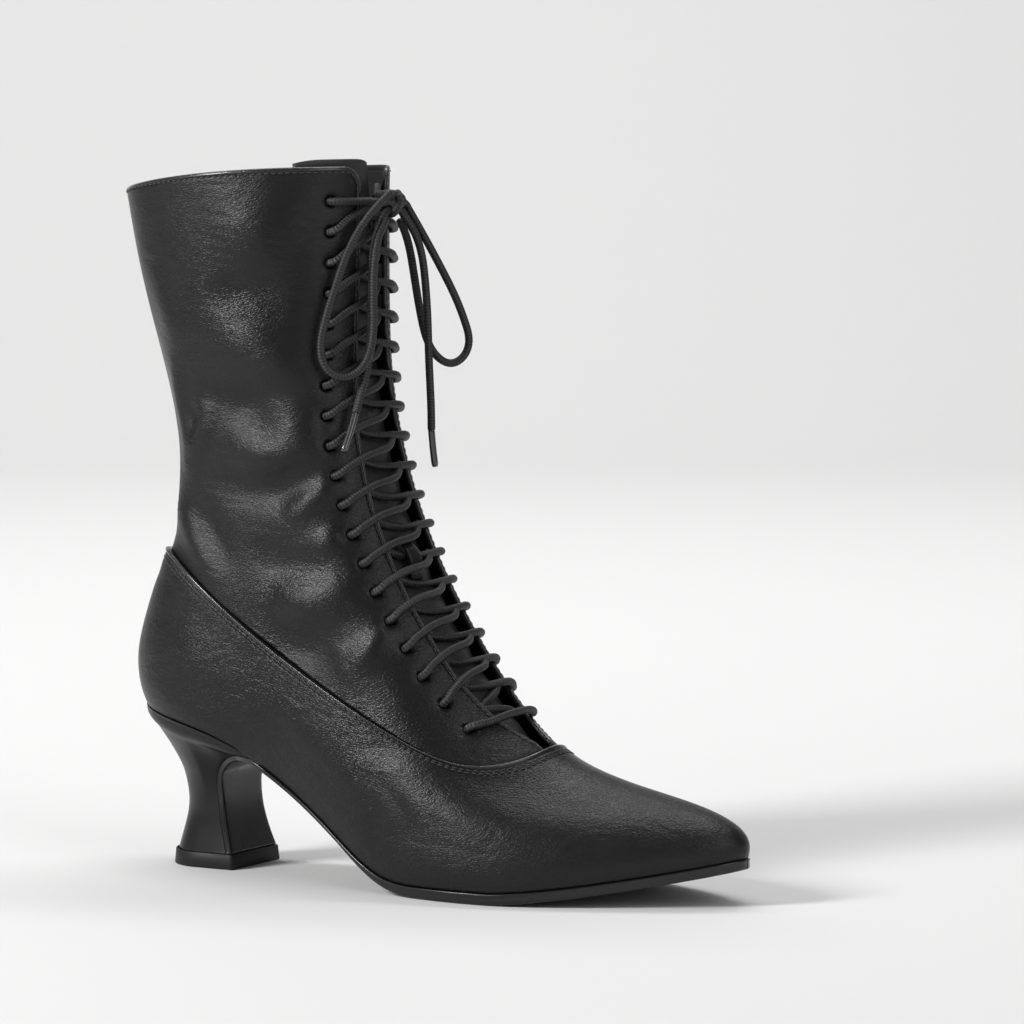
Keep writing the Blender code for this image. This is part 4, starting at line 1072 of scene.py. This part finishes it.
# How far up to the next eyelet a strand has come at each of its points, by the side that it
# starts from: the outer side's strands climb early, the inner side's evenly.
STRAND_CLIMB = {
    -1: np.array([0.0, 0.0, 0.02, 0.09, 0.31, 0.57, 0.75, 1.12, 1.42, 1.27, 1.08, 1.0]),
    1: np.array([0.0, 0.0, 0.01, 0.03, 0.11, 0.22, 0.30, 0.48, 0.72, 0.86, 0.96, 1.0]),
}
OVER = LACE / 2 + 0.1
UNDER = -(WALL + LACE / 2 + 0.15)


# How high a strand's middle lies that starts at an outer hole, and at an inner one
FROM_OUTER = -0.5
FROM_INNER = -3.3
LACE_STEP = 1.3
KNOT_STEP = 0.9
# From a hole's underside up and over the throat's edge to its middle: reach from the edge and height
EDGE_REACH = np.array([1.0, 1.03, 1.0, 0.88, 0.55, 0.2, 0.0]) * EYELET_INSET
EDGE_HEIGHTS = np.array([UNDER, -1.0, 0.4, OVER, OVER + 0.1, OVER + 0.2, OVER + 0.3])


def strand_path(low_up, high_up, side, first, middle):
    """Points from inside one eyelet over its flap's edge, across the throat, under the other
    flap and up to the next eyelet. first is the height over the own flap, middle the height in
    the middle of the throat."""
    rows = np.array([
        (1.00, UNDER), (1.02, -1.0), (0.98, 0.4), (0.87, first), (0.64, first + 0.05),
        (0.30, first), (0.02, first - 0.15), (0.00, middle), (0.02, UNDER + 0.15),
        (0.36, UNDER - 0.1), (0.80, UNDER), (1.00, UNDER),
    ])
    ups = low_up + (high_up - low_up) * STRAND_CLIMB[side]
    reach = turns_beside_throat(ups, rows[:, :1] * EYELET_INSET)[:, 0]
    reach[7] = 0.0
    turns = side * reach * np.where(np.arange(12) < 7, 1, -1)
    return lifted(ups, turns, rows[:, 1])


def laced_paths():
    """The two halves of the lace, from the bar at the foot up to the top eyelets."""
    ups = eyelet_ups()
    chains = []
    for side in (-1, 1):
        points = []
        now = side
        for k in range(EYELETS - 1, 0, -1):
            low_first = k == EYELETS - 1
            middle = FROM_OUTER if now < 0 else FROM_INNER
            heights = (UNDER, UNDER) if low_first else (OVER, middle)
            path = strand_path(ups[k], ups[k - 1], now, *heights)
            if low_first:
                path[:4] = path[3]
                path = path[3:]
            points.append(path[:-1])
            now = -now
        top_hole = now * turns_beside_throat(ups[:1], np.array([EYELET_INSET]))[0]
        points.append(lifted(ups[:1], top_hole, np.array([UNDER])))
        chains.append(np.vstack(points))
    return chains


def lace_rows(lace):
    """All the laced stretch as one mesh: two halves, the bar at the foot, the two top runs."""
    ups = eyelet_ups()
    paths = [even_path(chain, LACE_STEP) for chain in laced_paths()]
    foot = ups[-1]
    steps = len(EDGE_REACH)
    side = turns_beside_throat(np.full(steps, foot), EDGE_REACH[:, None])[:, 0]
    turns = np.concatenate([-side, [0.0], side[::-1]])
    heights = np.concatenate([EDGE_HEIGHTS, [OVER - 0.2], EDGE_HEIGHTS[::-1]])
    paths.append(even_path(lifted(np.full(len(turns), foot), turns, heights), LACE_STEP))
    top = ups[0]
    for now in (-1, 1):
        side = now * turns_beside_throat(np.full(steps, top), EDGE_REACH[:, None])[:, 0]
        route = lifted(np.full(steps, top), side, EDGE_HEIGHTS)
        at_knot = KNOT + [0.0, now * KNOT_SIZE[1] * 0.30, 0.5]
        paths.append(even_path(np.vstack([route, at_knot]), LACE_STEP))
    points, faces, marks = tube_mesh(paths, LACE / 2, LACE_SIDES)
    return mesh_object("lace_laced", points, faces, [lace], vectors=[("braid", marks)])


# The knot's wraps as seen by the camera: right, up and nearer, in millimetres from its middle
KNOT_WRAPS = (
    [
        (-6.6, 0.4, 0.4), (-5.2, 2.0, 2.2), (-1.6, 3.4, 3.0), (2.4, 3.3, 2.6), (5.2, 1.6, 1.2),
        (5.2, -0.6, -1.0), (2.0, -0.4, -3.0), (-2.6, 0.4, -3.0), (-5.8, 0.2, -1.4), (-6.6, 0.4, 0.4),
    ],
    [
        (3.6, 3.6, 1.6), (4.6, 1.0, 3.4), (3.6, -2.6, 3.4), (1.4, -5.0, 2.0), (0.4, -4.6, -1.0),
        (2.0, -1.0, -2.8), (3.4, 2.4, -1.4), (3.6, 3.6, 1.6),
    ],
    [
        (-2.6, -1.2, 1.6), (-0.6, 0.4, 3.6), (1.8, -0.4, 3.6), (2.6, -2.6, 2.2), (0.6, -3.4, 0.0),
        (-2.0, -2.6, 0.0), (-2.6, -1.2, 1.6),
    ],
    [
        (-5.0, -1.0, 0.4), (-2.4, 0.9, 1.0), (0.6, 0.4, 1.2), (2.4, -2.4, 0.8), (3.4, -0.6, 0.2),
        (3.6, 1.4, 0.2),
    ],
    [
        (-3.4, -3.0, 0.2), (-1.0, -1.4, 0.8), (1.6, -1.2, 0.8), (3.6, -2.4, 0.2),
    ],
)
# The wraps are drawn this much smaller, and moved this far right, up and nearer
KNOT_SHRINK = (0.92, 0.88, 0.88)
KNOT_MOVE = (-1.4, 0.8, 0.0)


def knot(lace):
    """The bow's knot: wraps of lace round the roots of the loops."""
    right = np.array([np.cos(CAMERA_TURN), np.sin(CAMERA_TURN), 0.0])
    nearer = np.array([np.sin(CAMERA_TURN), -np.cos(CAMERA_TURN), 0.0])
    axes = np.stack([right, [0.0, 0.0, 1.0], nearer])
    seen = [np.array(wrap) * KNOT_SHRINK + KNOT_MOVE for wrap in KNOT_WRAPS]
    wraps = [even_path(wrap @ axes + KNOT, KNOT_STEP) for wrap in seen]
    for route in (OUTER_LOOP, OUTER_END, INNER_LOOP, INNER_END):
        start = np.array(route[0], dtype=float)
        along = unit(np.array(route[1]) - start)
        root = np.array([KNOT + (start - KNOT) * 0.2, start - along * 1.5, start + along * 0.6])
        wraps.append(even_path(root, KNOT_STEP))
    points, faces, marks = tube_mesh(wraps, LACE / 2, LACE_SIDES)
    return mesh_object("bow_knot", points, faces, [lace], vectors=[("braid", marks)])


def free_cord(name, route, lace):
    """One loop or end of the bow as a cord of the route's own length, its length kept for the print at the
    end.
    """
    path = even_path(route, LACE_STEP)
    points, faces, marks = tube_mesh([path], LACE / 2, LACE_SIDES)
    obj = mesh_object(name, points, faces, [lace], vectors=[("braid", marks)])
    placed = (path + SHIFT) * MM
    CORD_LENGTHS[name] = path_length(placed)
    return obj


def tip(name, route, metal):
    """A lace tip: a stiff tube that starts a little inside its cord's end."""
    start = np.array(route[0]) - 1.6 * unit(np.array(route[1]) - np.array(route[0]))
    path = even_path(np.vstack([start, route]), 1.0)
    radius = np.full(len(path), TIP / 2)
    radius[0] = radius[-1] = TIP / 2 - 0.25
    points, faces, marks = tube_mesh([path], radius, 14)
    return mesh_object(name, points, faces, [metal], vectors=[("braid", marks)])


CORD_LENGTHS = {}


# Stitches


def stitch_mesh(name, rows, used, length=1.8, width=0.56, pitch=2.6):
    """One small bead a stitch along rows of (points, normals)."""
    turn = np.arange(6) * np.pi / 3
    lie = np.array([-1.0, -0.8, 0.0, 0.8, 1.0])
    thin = np.array([0.25, 0.8, 1.0, 0.8, 0.25])
    bead = np.stack([
        np.repeat(lie, 6) * length / 2,
        np.tile(np.cos(turn), 5) * np.repeat(thin, 6) * width / 2,
        np.tile(np.sin(turn), 5) * np.repeat(thin, 6) * width / 2,
    ], axis=-1)
    local_faces = grid_faces(5, 6, closed=True)
    ring = np.arange(6)
    after = np.roll(ring, -1)
    caps = np.vstack([
        np.stack([after, ring, np.full(6, 30)], axis=-1),
        np.stack([ring + 24, after + 24, np.full(6, 31)], axis=-1),
    ])
    bead = np.vstack([bead, [[-length / 2 - 0.1, 0, 0], [length / 2 + 0.1, 0, 0]]])
    all_points = []
    for points, normals in rows:
        walk = walked(points)
        at = np.arange(pitch / 2, walk[-1], pitch)
        spot = np.stack([np.interp(at, walk, points[:, c]) for c in range(3)], axis=-1)
        out = unit(np.stack([np.interp(at, walk, normals[:, c]) for c in range(3)], axis=-1))
        slope = np.gradient(points, walk, axis=0)
        along = np.stack([np.interp(at, walk, slope[:, c]) for c in range(3)], axis=-1)
        along = unit(along - out * np.sum(along * out, axis=1, keepdims=True))
        beside = np.cross(out, along)
        axes = np.stack([along, beside, out], axis=1)
        all_points.append((bead @ axes + spot[:, None]).reshape(-1, 3))
    points = np.vstack(all_points)
    count = len(points) // len(bead)
    shift = np.arange(count)[:, None, None] * len(bead)
    faces = [(local_faces + shift).reshape(-1, 4), (caps + shift).reshape(-1, 3)]
    return mesh_object(name, points, faces, [used])


def flap_edge_rows():
    """The stitch rows round the collar and down both edges of the throat."""
    rows = []
    ups = np.linspace(SEAM + 0.012, 1.0, 500)
    dense_edge = form(ups, throat_turn(ups))
    walk = walked(dense_edge)
    from_collar = walk[-1] - walk
    top_up = np.interp(STITCH_INSET, from_collar[::-1], ups[::-1])
    bend_at = np.interp(COLLAR_RADIUS, from_collar[::-1], ups[::-1])
    straight = np.linspace(ups[0], bend_at, 260)
    radius = COLLAR_RADIUS - STITCH_INSET
    angle = np.linspace(0, np.pi / 2, 16)[1:]
    corner_up = np.interp(COLLAR_RADIUS - radius * np.sin(angle), from_collar[::-1], ups[::-1])
    corner_reach = COLLAR_RADIUS - radius * np.cos(angle)
    turns_low = turns_beside_throat(straight, np.array([STITCH_INSET]))[:, 0]
    turns_corner = turns_beside_throat(corner_up, corner_reach[:, None])[:, 0]
    collar_turns = np.linspace(turns_corner[-1], np.pi, 260)[1:]
    up_line = np.concatenate([straight, corner_up, np.full(len(collar_turns), top_up)])
    turn_line = np.concatenate([turns_low, turns_corner, collar_turns])
    for side in (-1, 1):
        height = np.full(len(up_line), 0.08)
        rows.append((lifted(up_line, side * turn_line, height), outward(up_line, side * turn_line)))
    return rows


def seam_rows():
    """The two stitch rows under the foxing's rolled edge, all the way round."""
    turns = np.linspace(-np.pi, np.pi, 900)
    dense = np.linspace(SEAM - 0.05, SEAM, 60)
    grid = form(dense[:, None], turns)
    steps = np.linalg.norm(np.diff(grid, axis=0), axis=-1)
    down = np.vstack([np.cumsum(steps[::-1], axis=0)[::-1], np.zeros((1, len(turns)))])
    rows = []
    for distance in SEAM_STITCHES:
        ups = np.array([np.interp(distance, down[::-1, k], dense[::-1]) for k in range(len(turns))])
        rows.append((lifted(ups, turns, np.full(len(turns), FOXING_STEP + 0.02)), outward(ups, turns)))
    return rows


# Materials


class Wire:
    """A shader socket that takes arithmetic: each sign makes one Math node."""

    def __init__(self, tree, socket):
        self.tree = tree
        self.socket = socket

    def math(self, operation, *others):
        """One Math node of this wire and the others."""
        made = self.tree.nodes.new("ShaderNodeMath")
        made.operation = operation
        for slot_in, value in zip(made.inputs, (self, *others)):
            feed(self.tree, slot_in, value)
        return Wire(self.tree, made.outputs[0])

    def __add__(self, other):
        return self.math("ADD", other)

    def __sub__(self, other):
        return self.math("SUBTRACT", other)

    def __mul__(self, other):
        return self.math("MULTIPLY", other)

    def ramp(self, low, high, to_low=0.0, to_high=1.0):
        """This wire between low and high, eased to run from to_low to to_high."""
        made = self.tree.nodes.new("ShaderNodeMapRange")
        made.interpolation_type = "SMOOTHSTEP"
        for slot_in, value in zip(made.inputs, (self, low, high, to_low, to_high)):
            feed(self.tree, slot_in, value)
        return Wire(self.tree, made.outputs[0])


def feed(tree, slot_in, value):
    """Wire a Wire into an input, or set the input to a plain value."""
    if isinstance(value, Wire):
        tree.links.new(value.socket, slot_in)
    else:
        slot_in.default_value = value


def make_node(tree, kind, out=0, settings=(), **inputs):
    """A node of this kind, its inputs wired or set by name, as a Wire of one output."""
    made = tree.nodes.new("ShaderNode" + kind)
    for key, value in settings:
        setattr(made, key, value)
    for key, value in inputs.items():
        feed(tree, made.inputs[key.replace("_", " ")], value)
    return Wire(tree, made.outputs[out])


def start_material(name):
    """A new material: itself, its node tree, its shader and the object's own coordinates."""
    made = bpy.data.materials.new(name)
    made.use_nodes = True
    tree = made.node_tree
    shader = tree.nodes["Principled BSDF"]
    place = make_node(tree, "TexCoord", 3)
    return made, tree, shader, place


def noise(tree, place, scale, detail=2.0, rough=0.5, twist=0.0):
    """A noise over the place, as a Wire."""
    look = {"Scale": scale, "Detail": detail, "Roughness": rough, "Distortion": twist}
    return make_node(tree, "TexNoise", 0, Vector=place, **look)


def turned(tree, place, angle, stretch):
    """The place turned and stretched, for a grain that runs one way."""
    made = tree.nodes.new("ShaderNodeMapping")
    made.inputs["Rotation"].default_value = angle
    made.inputs["Scale"].default_value = stretch
    tree.links.new(place.socket, made.inputs["Vector"])
    return Wire(tree, made.outputs[0])


def leather_material(name, colour, roughness, grain=1.0, coat=0.0):
    """Near-black finished leather: a fine grain that runs aslant, broad patches of lower and higher gloss,
    and along cut edges and the seam's bead a glossier skin with its colour painted lighter, a painted
    highlight."""
    made, tree, shader, place = start_material(name)
    slant = turned(tree, place, (0.0, 0.7, 0.3), (1.0, 1.0, 2.4))
    to_edge = [("feature", "DISTANCE_TO_EDGE")]
    cells = make_node(tree, "TexVoronoi", 0, settings=to_edge, Vector=slant, Scale=620.0)
    fine = noise(tree, slant, 900.0, 3.0, 0.6, 0.6)
    wrinkle = noise(tree, slant, 430.0, 2.0, 0.5, 0.9)
    patches = noise(tree, place, 22.0, 2.0)
    gloss_and_painted_highlight = make_node(tree, "Attribute", 2, settings=[("attribute_name", "gloss_and_painted_highlight")])
    skin = cells.ramp(0.0, 0.25) * 0.5 + fine * 0.6 + wrinkle * 0.9
    drawn = turned(tree, place, (0.2, 0.9, 0.3), (1.0, 1.0, 2.2))
    wave = noise(tree, drawn, 75.0, 4.0, 0.6, 0.5)
    waved = make_node(tree, "Bump", 0, Strength=0.4, Distance=0.0014, Height=wave)
    bumped = make_node(tree, "Bump", 0, Strength=0.45 * grain, Distance=0.00022, Height=skin, Normal=waved)
    tree.links.new(bumped.socket, shader.inputs["Normal"])
    rough = patches.ramp(0.3, 0.7, roughness - 0.05, roughness + 0.07) - gloss_and_painted_highlight * 0.14 + (fine - 0.5) * 0.10
    tree.links.new(rough.socket, shader.inputs["Roughness"])
    # Random patches of tone, plus the colour painted lighter where the gloss field is high: a painted
    # highlight along edges and the bead
    tone_and_painted_light = patches.ramp(0.25, 0.75, 0.85, 1.2) + gloss_and_painted_highlight * 1.6
    red, green, blue = (tone_and_painted_light * share for share in colour)
    tone = make_node(tree, "CombineColor", 0, Red=red, Green=green, Blue=blue)
    tree.links.new(tone.socket, shader.inputs["Base Color"])
    shader.inputs["Specular IOR Level"].default_value = 0.31
    tree.links.new((gloss_and_painted_highlight * 0.9 + coat).socket, shader.inputs["Coat Weight"])
    shader.inputs["Coat Roughness"].default_value = 0.16
    return made


def plain_material(name, colour, roughness, coat=0.0, metallic=0.0, grain=0.1, scale=700.0):
    """One colour with a fine speck and a little unevenness of gloss."""
    made, tree, shader, place = start_material(name)
    speck = noise(tree, place, scale, 3.0)
    bumped = make_node(tree, "Bump", 0, Strength=grain, Distance=0.0002, Height=speck)
    tree.links.new(bumped.socket, shader.inputs["Normal"])
    rough = noise(tree, place, 60.0, 2.0).ramp(0.3, 0.7, roughness - 0.04, roughness + 0.06)
    tree.links.new(rough.socket, shader.inputs["Roughness"])
    shader.inputs["Base Color"].default_value = (*colour, 1.0)
    shader.inputs["Specular IOR Level"].default_value = 0.31
    shader.inputs["Metallic"].default_value = metallic
    shader.inputs["Coat Weight"].default_value = coat
    shader.inputs["Coat Roughness"].default_value = 0.12
    return made


def lace_material():
    """Round braid: two families of helices cross, each crest a raised yarn, its colour painted lighter and
    the troughs painted darker.
    """
    made, tree, shader, place = start_material("lace_braid")
    marks = make_node(tree, "Attribute", 1, settings=[("attribute_name", "braid")])
    split = tree.nodes.new("ShaderNodeSeparateXYZ")
    tree.links.new(marks.socket, split.inputs[0])
    along = Wire(tree, split.outputs[0])
    angle = Wire(tree, split.outputs[2]).math("ARCTAN2", Wire(tree, split.outputs[1]))
    one = (along * 2.7 + angle * 2.0).math("SINE")
    two = (along * 2.7 - angle * 2.0).math("SINE")
    weave = one * two
    fuzz = noise(tree, place, 2600.0, 2.0)
    bumped = make_node(tree, "Bump", 0, Strength=0.8, Distance=0.0004, Height=weave * 0.5 + fuzz * 0.4)
    tree.links.new(bumped.socket, shader.inputs["Normal"])
    # The colour follows the weave: painted shade in the troughs and a painted highlight on the crests
    tone_and_painted_light = weave.ramp(-1.0, 1.0, 0.002, 0.030)
    tone = make_node(tree, "CombineColor", 0, Red=tone_and_painted_light, Green=tone_and_painted_light, Blue=tone_and_painted_light * 1.04)
    tree.links.new(tone.socket, shader.inputs["Base Color"])
    shader.inputs["Roughness"].default_value = 0.55
    return made


# Stage

LOOK_AT = np.array([159.24, 0.0, 138.96])
CAMERA_TURN = np.radians(29.78)
CAMERA_RISE = np.radians(4.86)
CAMERA_DISTANCE = 1920.0
CAMERA_LENS = 184.22


def camera():
    """The photograph's view: from the outer side and a little in front, almost level."""
    target = LOOK_AT + SHIFT
    away = np.array([
        np.sin(CAMERA_TURN) * np.cos(CAMERA_RISE),
        -np.cos(CAMERA_TURN) * np.cos(CAMERA_RISE),
        np.sin(CAMERA_RISE),
    ])
    data = bpy.data.cameras.new("view")
    data.lens = CAMERA_LENS
    data.sensor_width = 36.0
    data.clip_start = 0.05
    obj = bpy.data.objects.new("view", data)
    obj.location = (target + away * CAMERA_DISTANCE) * MM
    obj.rotation_euler = Vector(-away).to_track_quat("-Z", "Y").to_euler()
    bpy.context.collection.objects.link(obj)
    bpy.context.scene.camera = obj


def area_light(name, place, target, wide, tall, power):
    """A white rectangular light, in metres and watts."""
    data = bpy.data.lights.new(name, "AREA")
    data.shape = "RECTANGLE"
    data.size = wide
    data.size_y = tall
    data.energy = power
    obj = bpy.data.objects.new(name, data)
    obj.location = place
    obj.rotation_euler = (Vector(target) - Vector(place)).to_track_quat("-Z", "Y").to_euler()
    bpy.context.collection.objects.link(obj)
    return obj


# The sweep in metres: where its floor starts and bends up, its bend, and its size
SWEEP_FRONT = -3.0
SWEEP_BEND = 2.0
SWEEP_RADIUS = 1.2
SWEEP_HEIGHT = 5.0
SWEEP_HALF = 6.0
SWEEP_COLOUR = (0.74, 0.735, 0.73, 1.0)


def backdrop():
    """A pale sweep: floor that curves up into a wall."""
    angle = np.linspace(0, np.pi / 2, 24)
    floor = np.array([[SWEEP_FRONT, 0.0]])
    bend = np.stack([
        SWEEP_BEND + SWEEP_RADIUS * np.sin(angle), SWEEP_RADIUS * (1 - np.cos(angle)),
    ], axis=-1)
    wall = np.array([[SWEEP_BEND + SWEEP_RADIUS, SWEEP_HEIGHT]])
    line = np.vstack([floor, bend, wall])
    facing = np.array([-np.sin(CAMERA_TURN), np.cos(CAMERA_TURN)])
    beside = np.array([facing[1], -facing[0]])
    rows = []
    for reach, height in line:
        spot = facing * reach
        rows.append([[*(spot + beside * side), height] for side in (-SWEEP_HALF, SWEEP_HALF)])
    points = np.array(rows).reshape(-1, 3)
    mesh = bpy.data.meshes.new("sweep")
    faces = grid_faces(len(line), 2)
    mesh.from_pydata(points.tolist(), [], faces.tolist())
    mesh.shade_smooth()
    made, _, shader, _ = start_material("sweep_paper")
    shader.inputs["Base Color"].default_value = SWEEP_COLOUR
    shader.inputs["Roughness"].default_value = 0.9
    mesh.materials.append(made)
    obj = bpy.data.objects.new("sweep", mesh)
    bpy.context.collection.objects.link(obj)
    return obj


def studio():
    """A soft key from the left and above, a broad fill from the right, and light from overhead."""
    lights = [
        area_light("key", (-1.0, -1.5, 1.15), (0.0, 0.0, 0.14), 0.5, 0.65, 40.0),
        area_light("fill", (1.5, -0.5, 0.9), (0.0, 0.0, 0.12), 0.9, 1.4, 8.0),
        area_light("top", (0.1, 0.5, 2.2), (0.0, 0.2, 0.0), 1.6, 1.6, 7.0),
        area_light("wall_wash", (-0.6, 0.6, 2.2), (-0.9, 2.2, 0.6), 2.4, 0.6, 49.0),
    ]
    world = bpy.data.worlds.new("studio")
    world.use_nodes = True
    world.node_tree.nodes["Background"].inputs[0].default_value = (0.95, 0.96, 1.0, 1.0)
    world.node_tree.nodes["Background"].inputs[1].default_value = 0.19
    bpy.context.scene.world = world
    bpy.context.scene.view_settings.view_transform = "Standard"
    return lights


def main():
    """Every material, every piece with what it replaces, and the stage."""
    leather = leather_material("black_leather", (0.0050, 0.0048, 0.0050), 0.35)
    # The tongue's leather is the black leather with its colour painted six times lighter: painted light
    # where the tongue lies in shade
    painted_light_leather = leather_material("tongue_leather_painted_light", (0.030, 0.029, 0.028), 0.40)
    lining = plain_material("black_lining", (0.012, 0.0115, 0.011), 0.62, grain=0.2)
    sole_black = plain_material("sole_black", (0.006, 0.006, 0.006), 0.28, coat=0.3, grain=0.05)
    heel_black = plain_material("heel_black", (0.006, 0.006, 0.006), 0.34, coat=0.05, grain=0.1)
    rubber = plain_material("rubber_black", (0.007, 0.007, 0.007), 0.5, grain=0.15)
    sock_brown = plain_material("sock_leather", (0.035, 0.030, 0.026), 0.6, grain=0.2)
    thread = plain_material("thread_black", (0.045, 0.045, 0.046), 0.45, grain=0.1)
    lace = lace_material()
    metal = plain_material("tip_gloss", (0.05, 0.05, 0.052), 0.14, coat=0.9, metallic=0.5, grain=0.0)

    shaft_piece = shaft(leather, lining)
    foxing_piece = foxing(leather, lining)
    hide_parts("upper")
    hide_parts("upper")
    for piece, node, slot_name in (
        (outsole(sole_black), "outsole", "sole"),
        (heel(heel_black), "heel", "heel_cover"),
        (top_piece(rubber), "top_piece", "top_piece_rubber"),
        (insole(sock_brown), "insole", "sock_leather"),
        (tongue(painted_light_leather), "tongue", "upper_leather"),
        (keeper(leather), "lace_keeper", "upper_leather"),
    ):
        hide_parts(node)
    laced = lace_rows(lace)
    crossing_nodes = [f"lace_cross_{k + 1:02d}" for k in range(EYELETS - 1)]
    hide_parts(*crossing_nodes, "lace_foot", "lace_top_outer", "lace_top_inner")
    tied = knot(lace)
    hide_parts("lace_knot")
    for side, route in (("outer", OUTER_TIP), ("inner", INNER_TIP)):
        tip("bow_tip_" + side, route, metal)
        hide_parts("lace_tip_" + side)
    for side, loop, end in (("outer", OUTER_LOOP, OUTER_END), ("inner", INNER_LOOP, INNER_END)):
        cord = free_cord("bow_loop_" + side, loop, lace)
        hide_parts("lace_loop_" + side)
        cord = free_cord("bow_end_" + side, end, lace)
        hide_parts("lace_end_" + side)
    sewn = stitch_mesh("stitches", flap_edge_rows() + seam_rows(), thread)

    camera()
    backdrop()
    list(studio())


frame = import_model()
SHIFT = row_shift()
main()
print("cord lengths", {name: round(value, 4) for name, value in CORD_LENGTHS.items()})
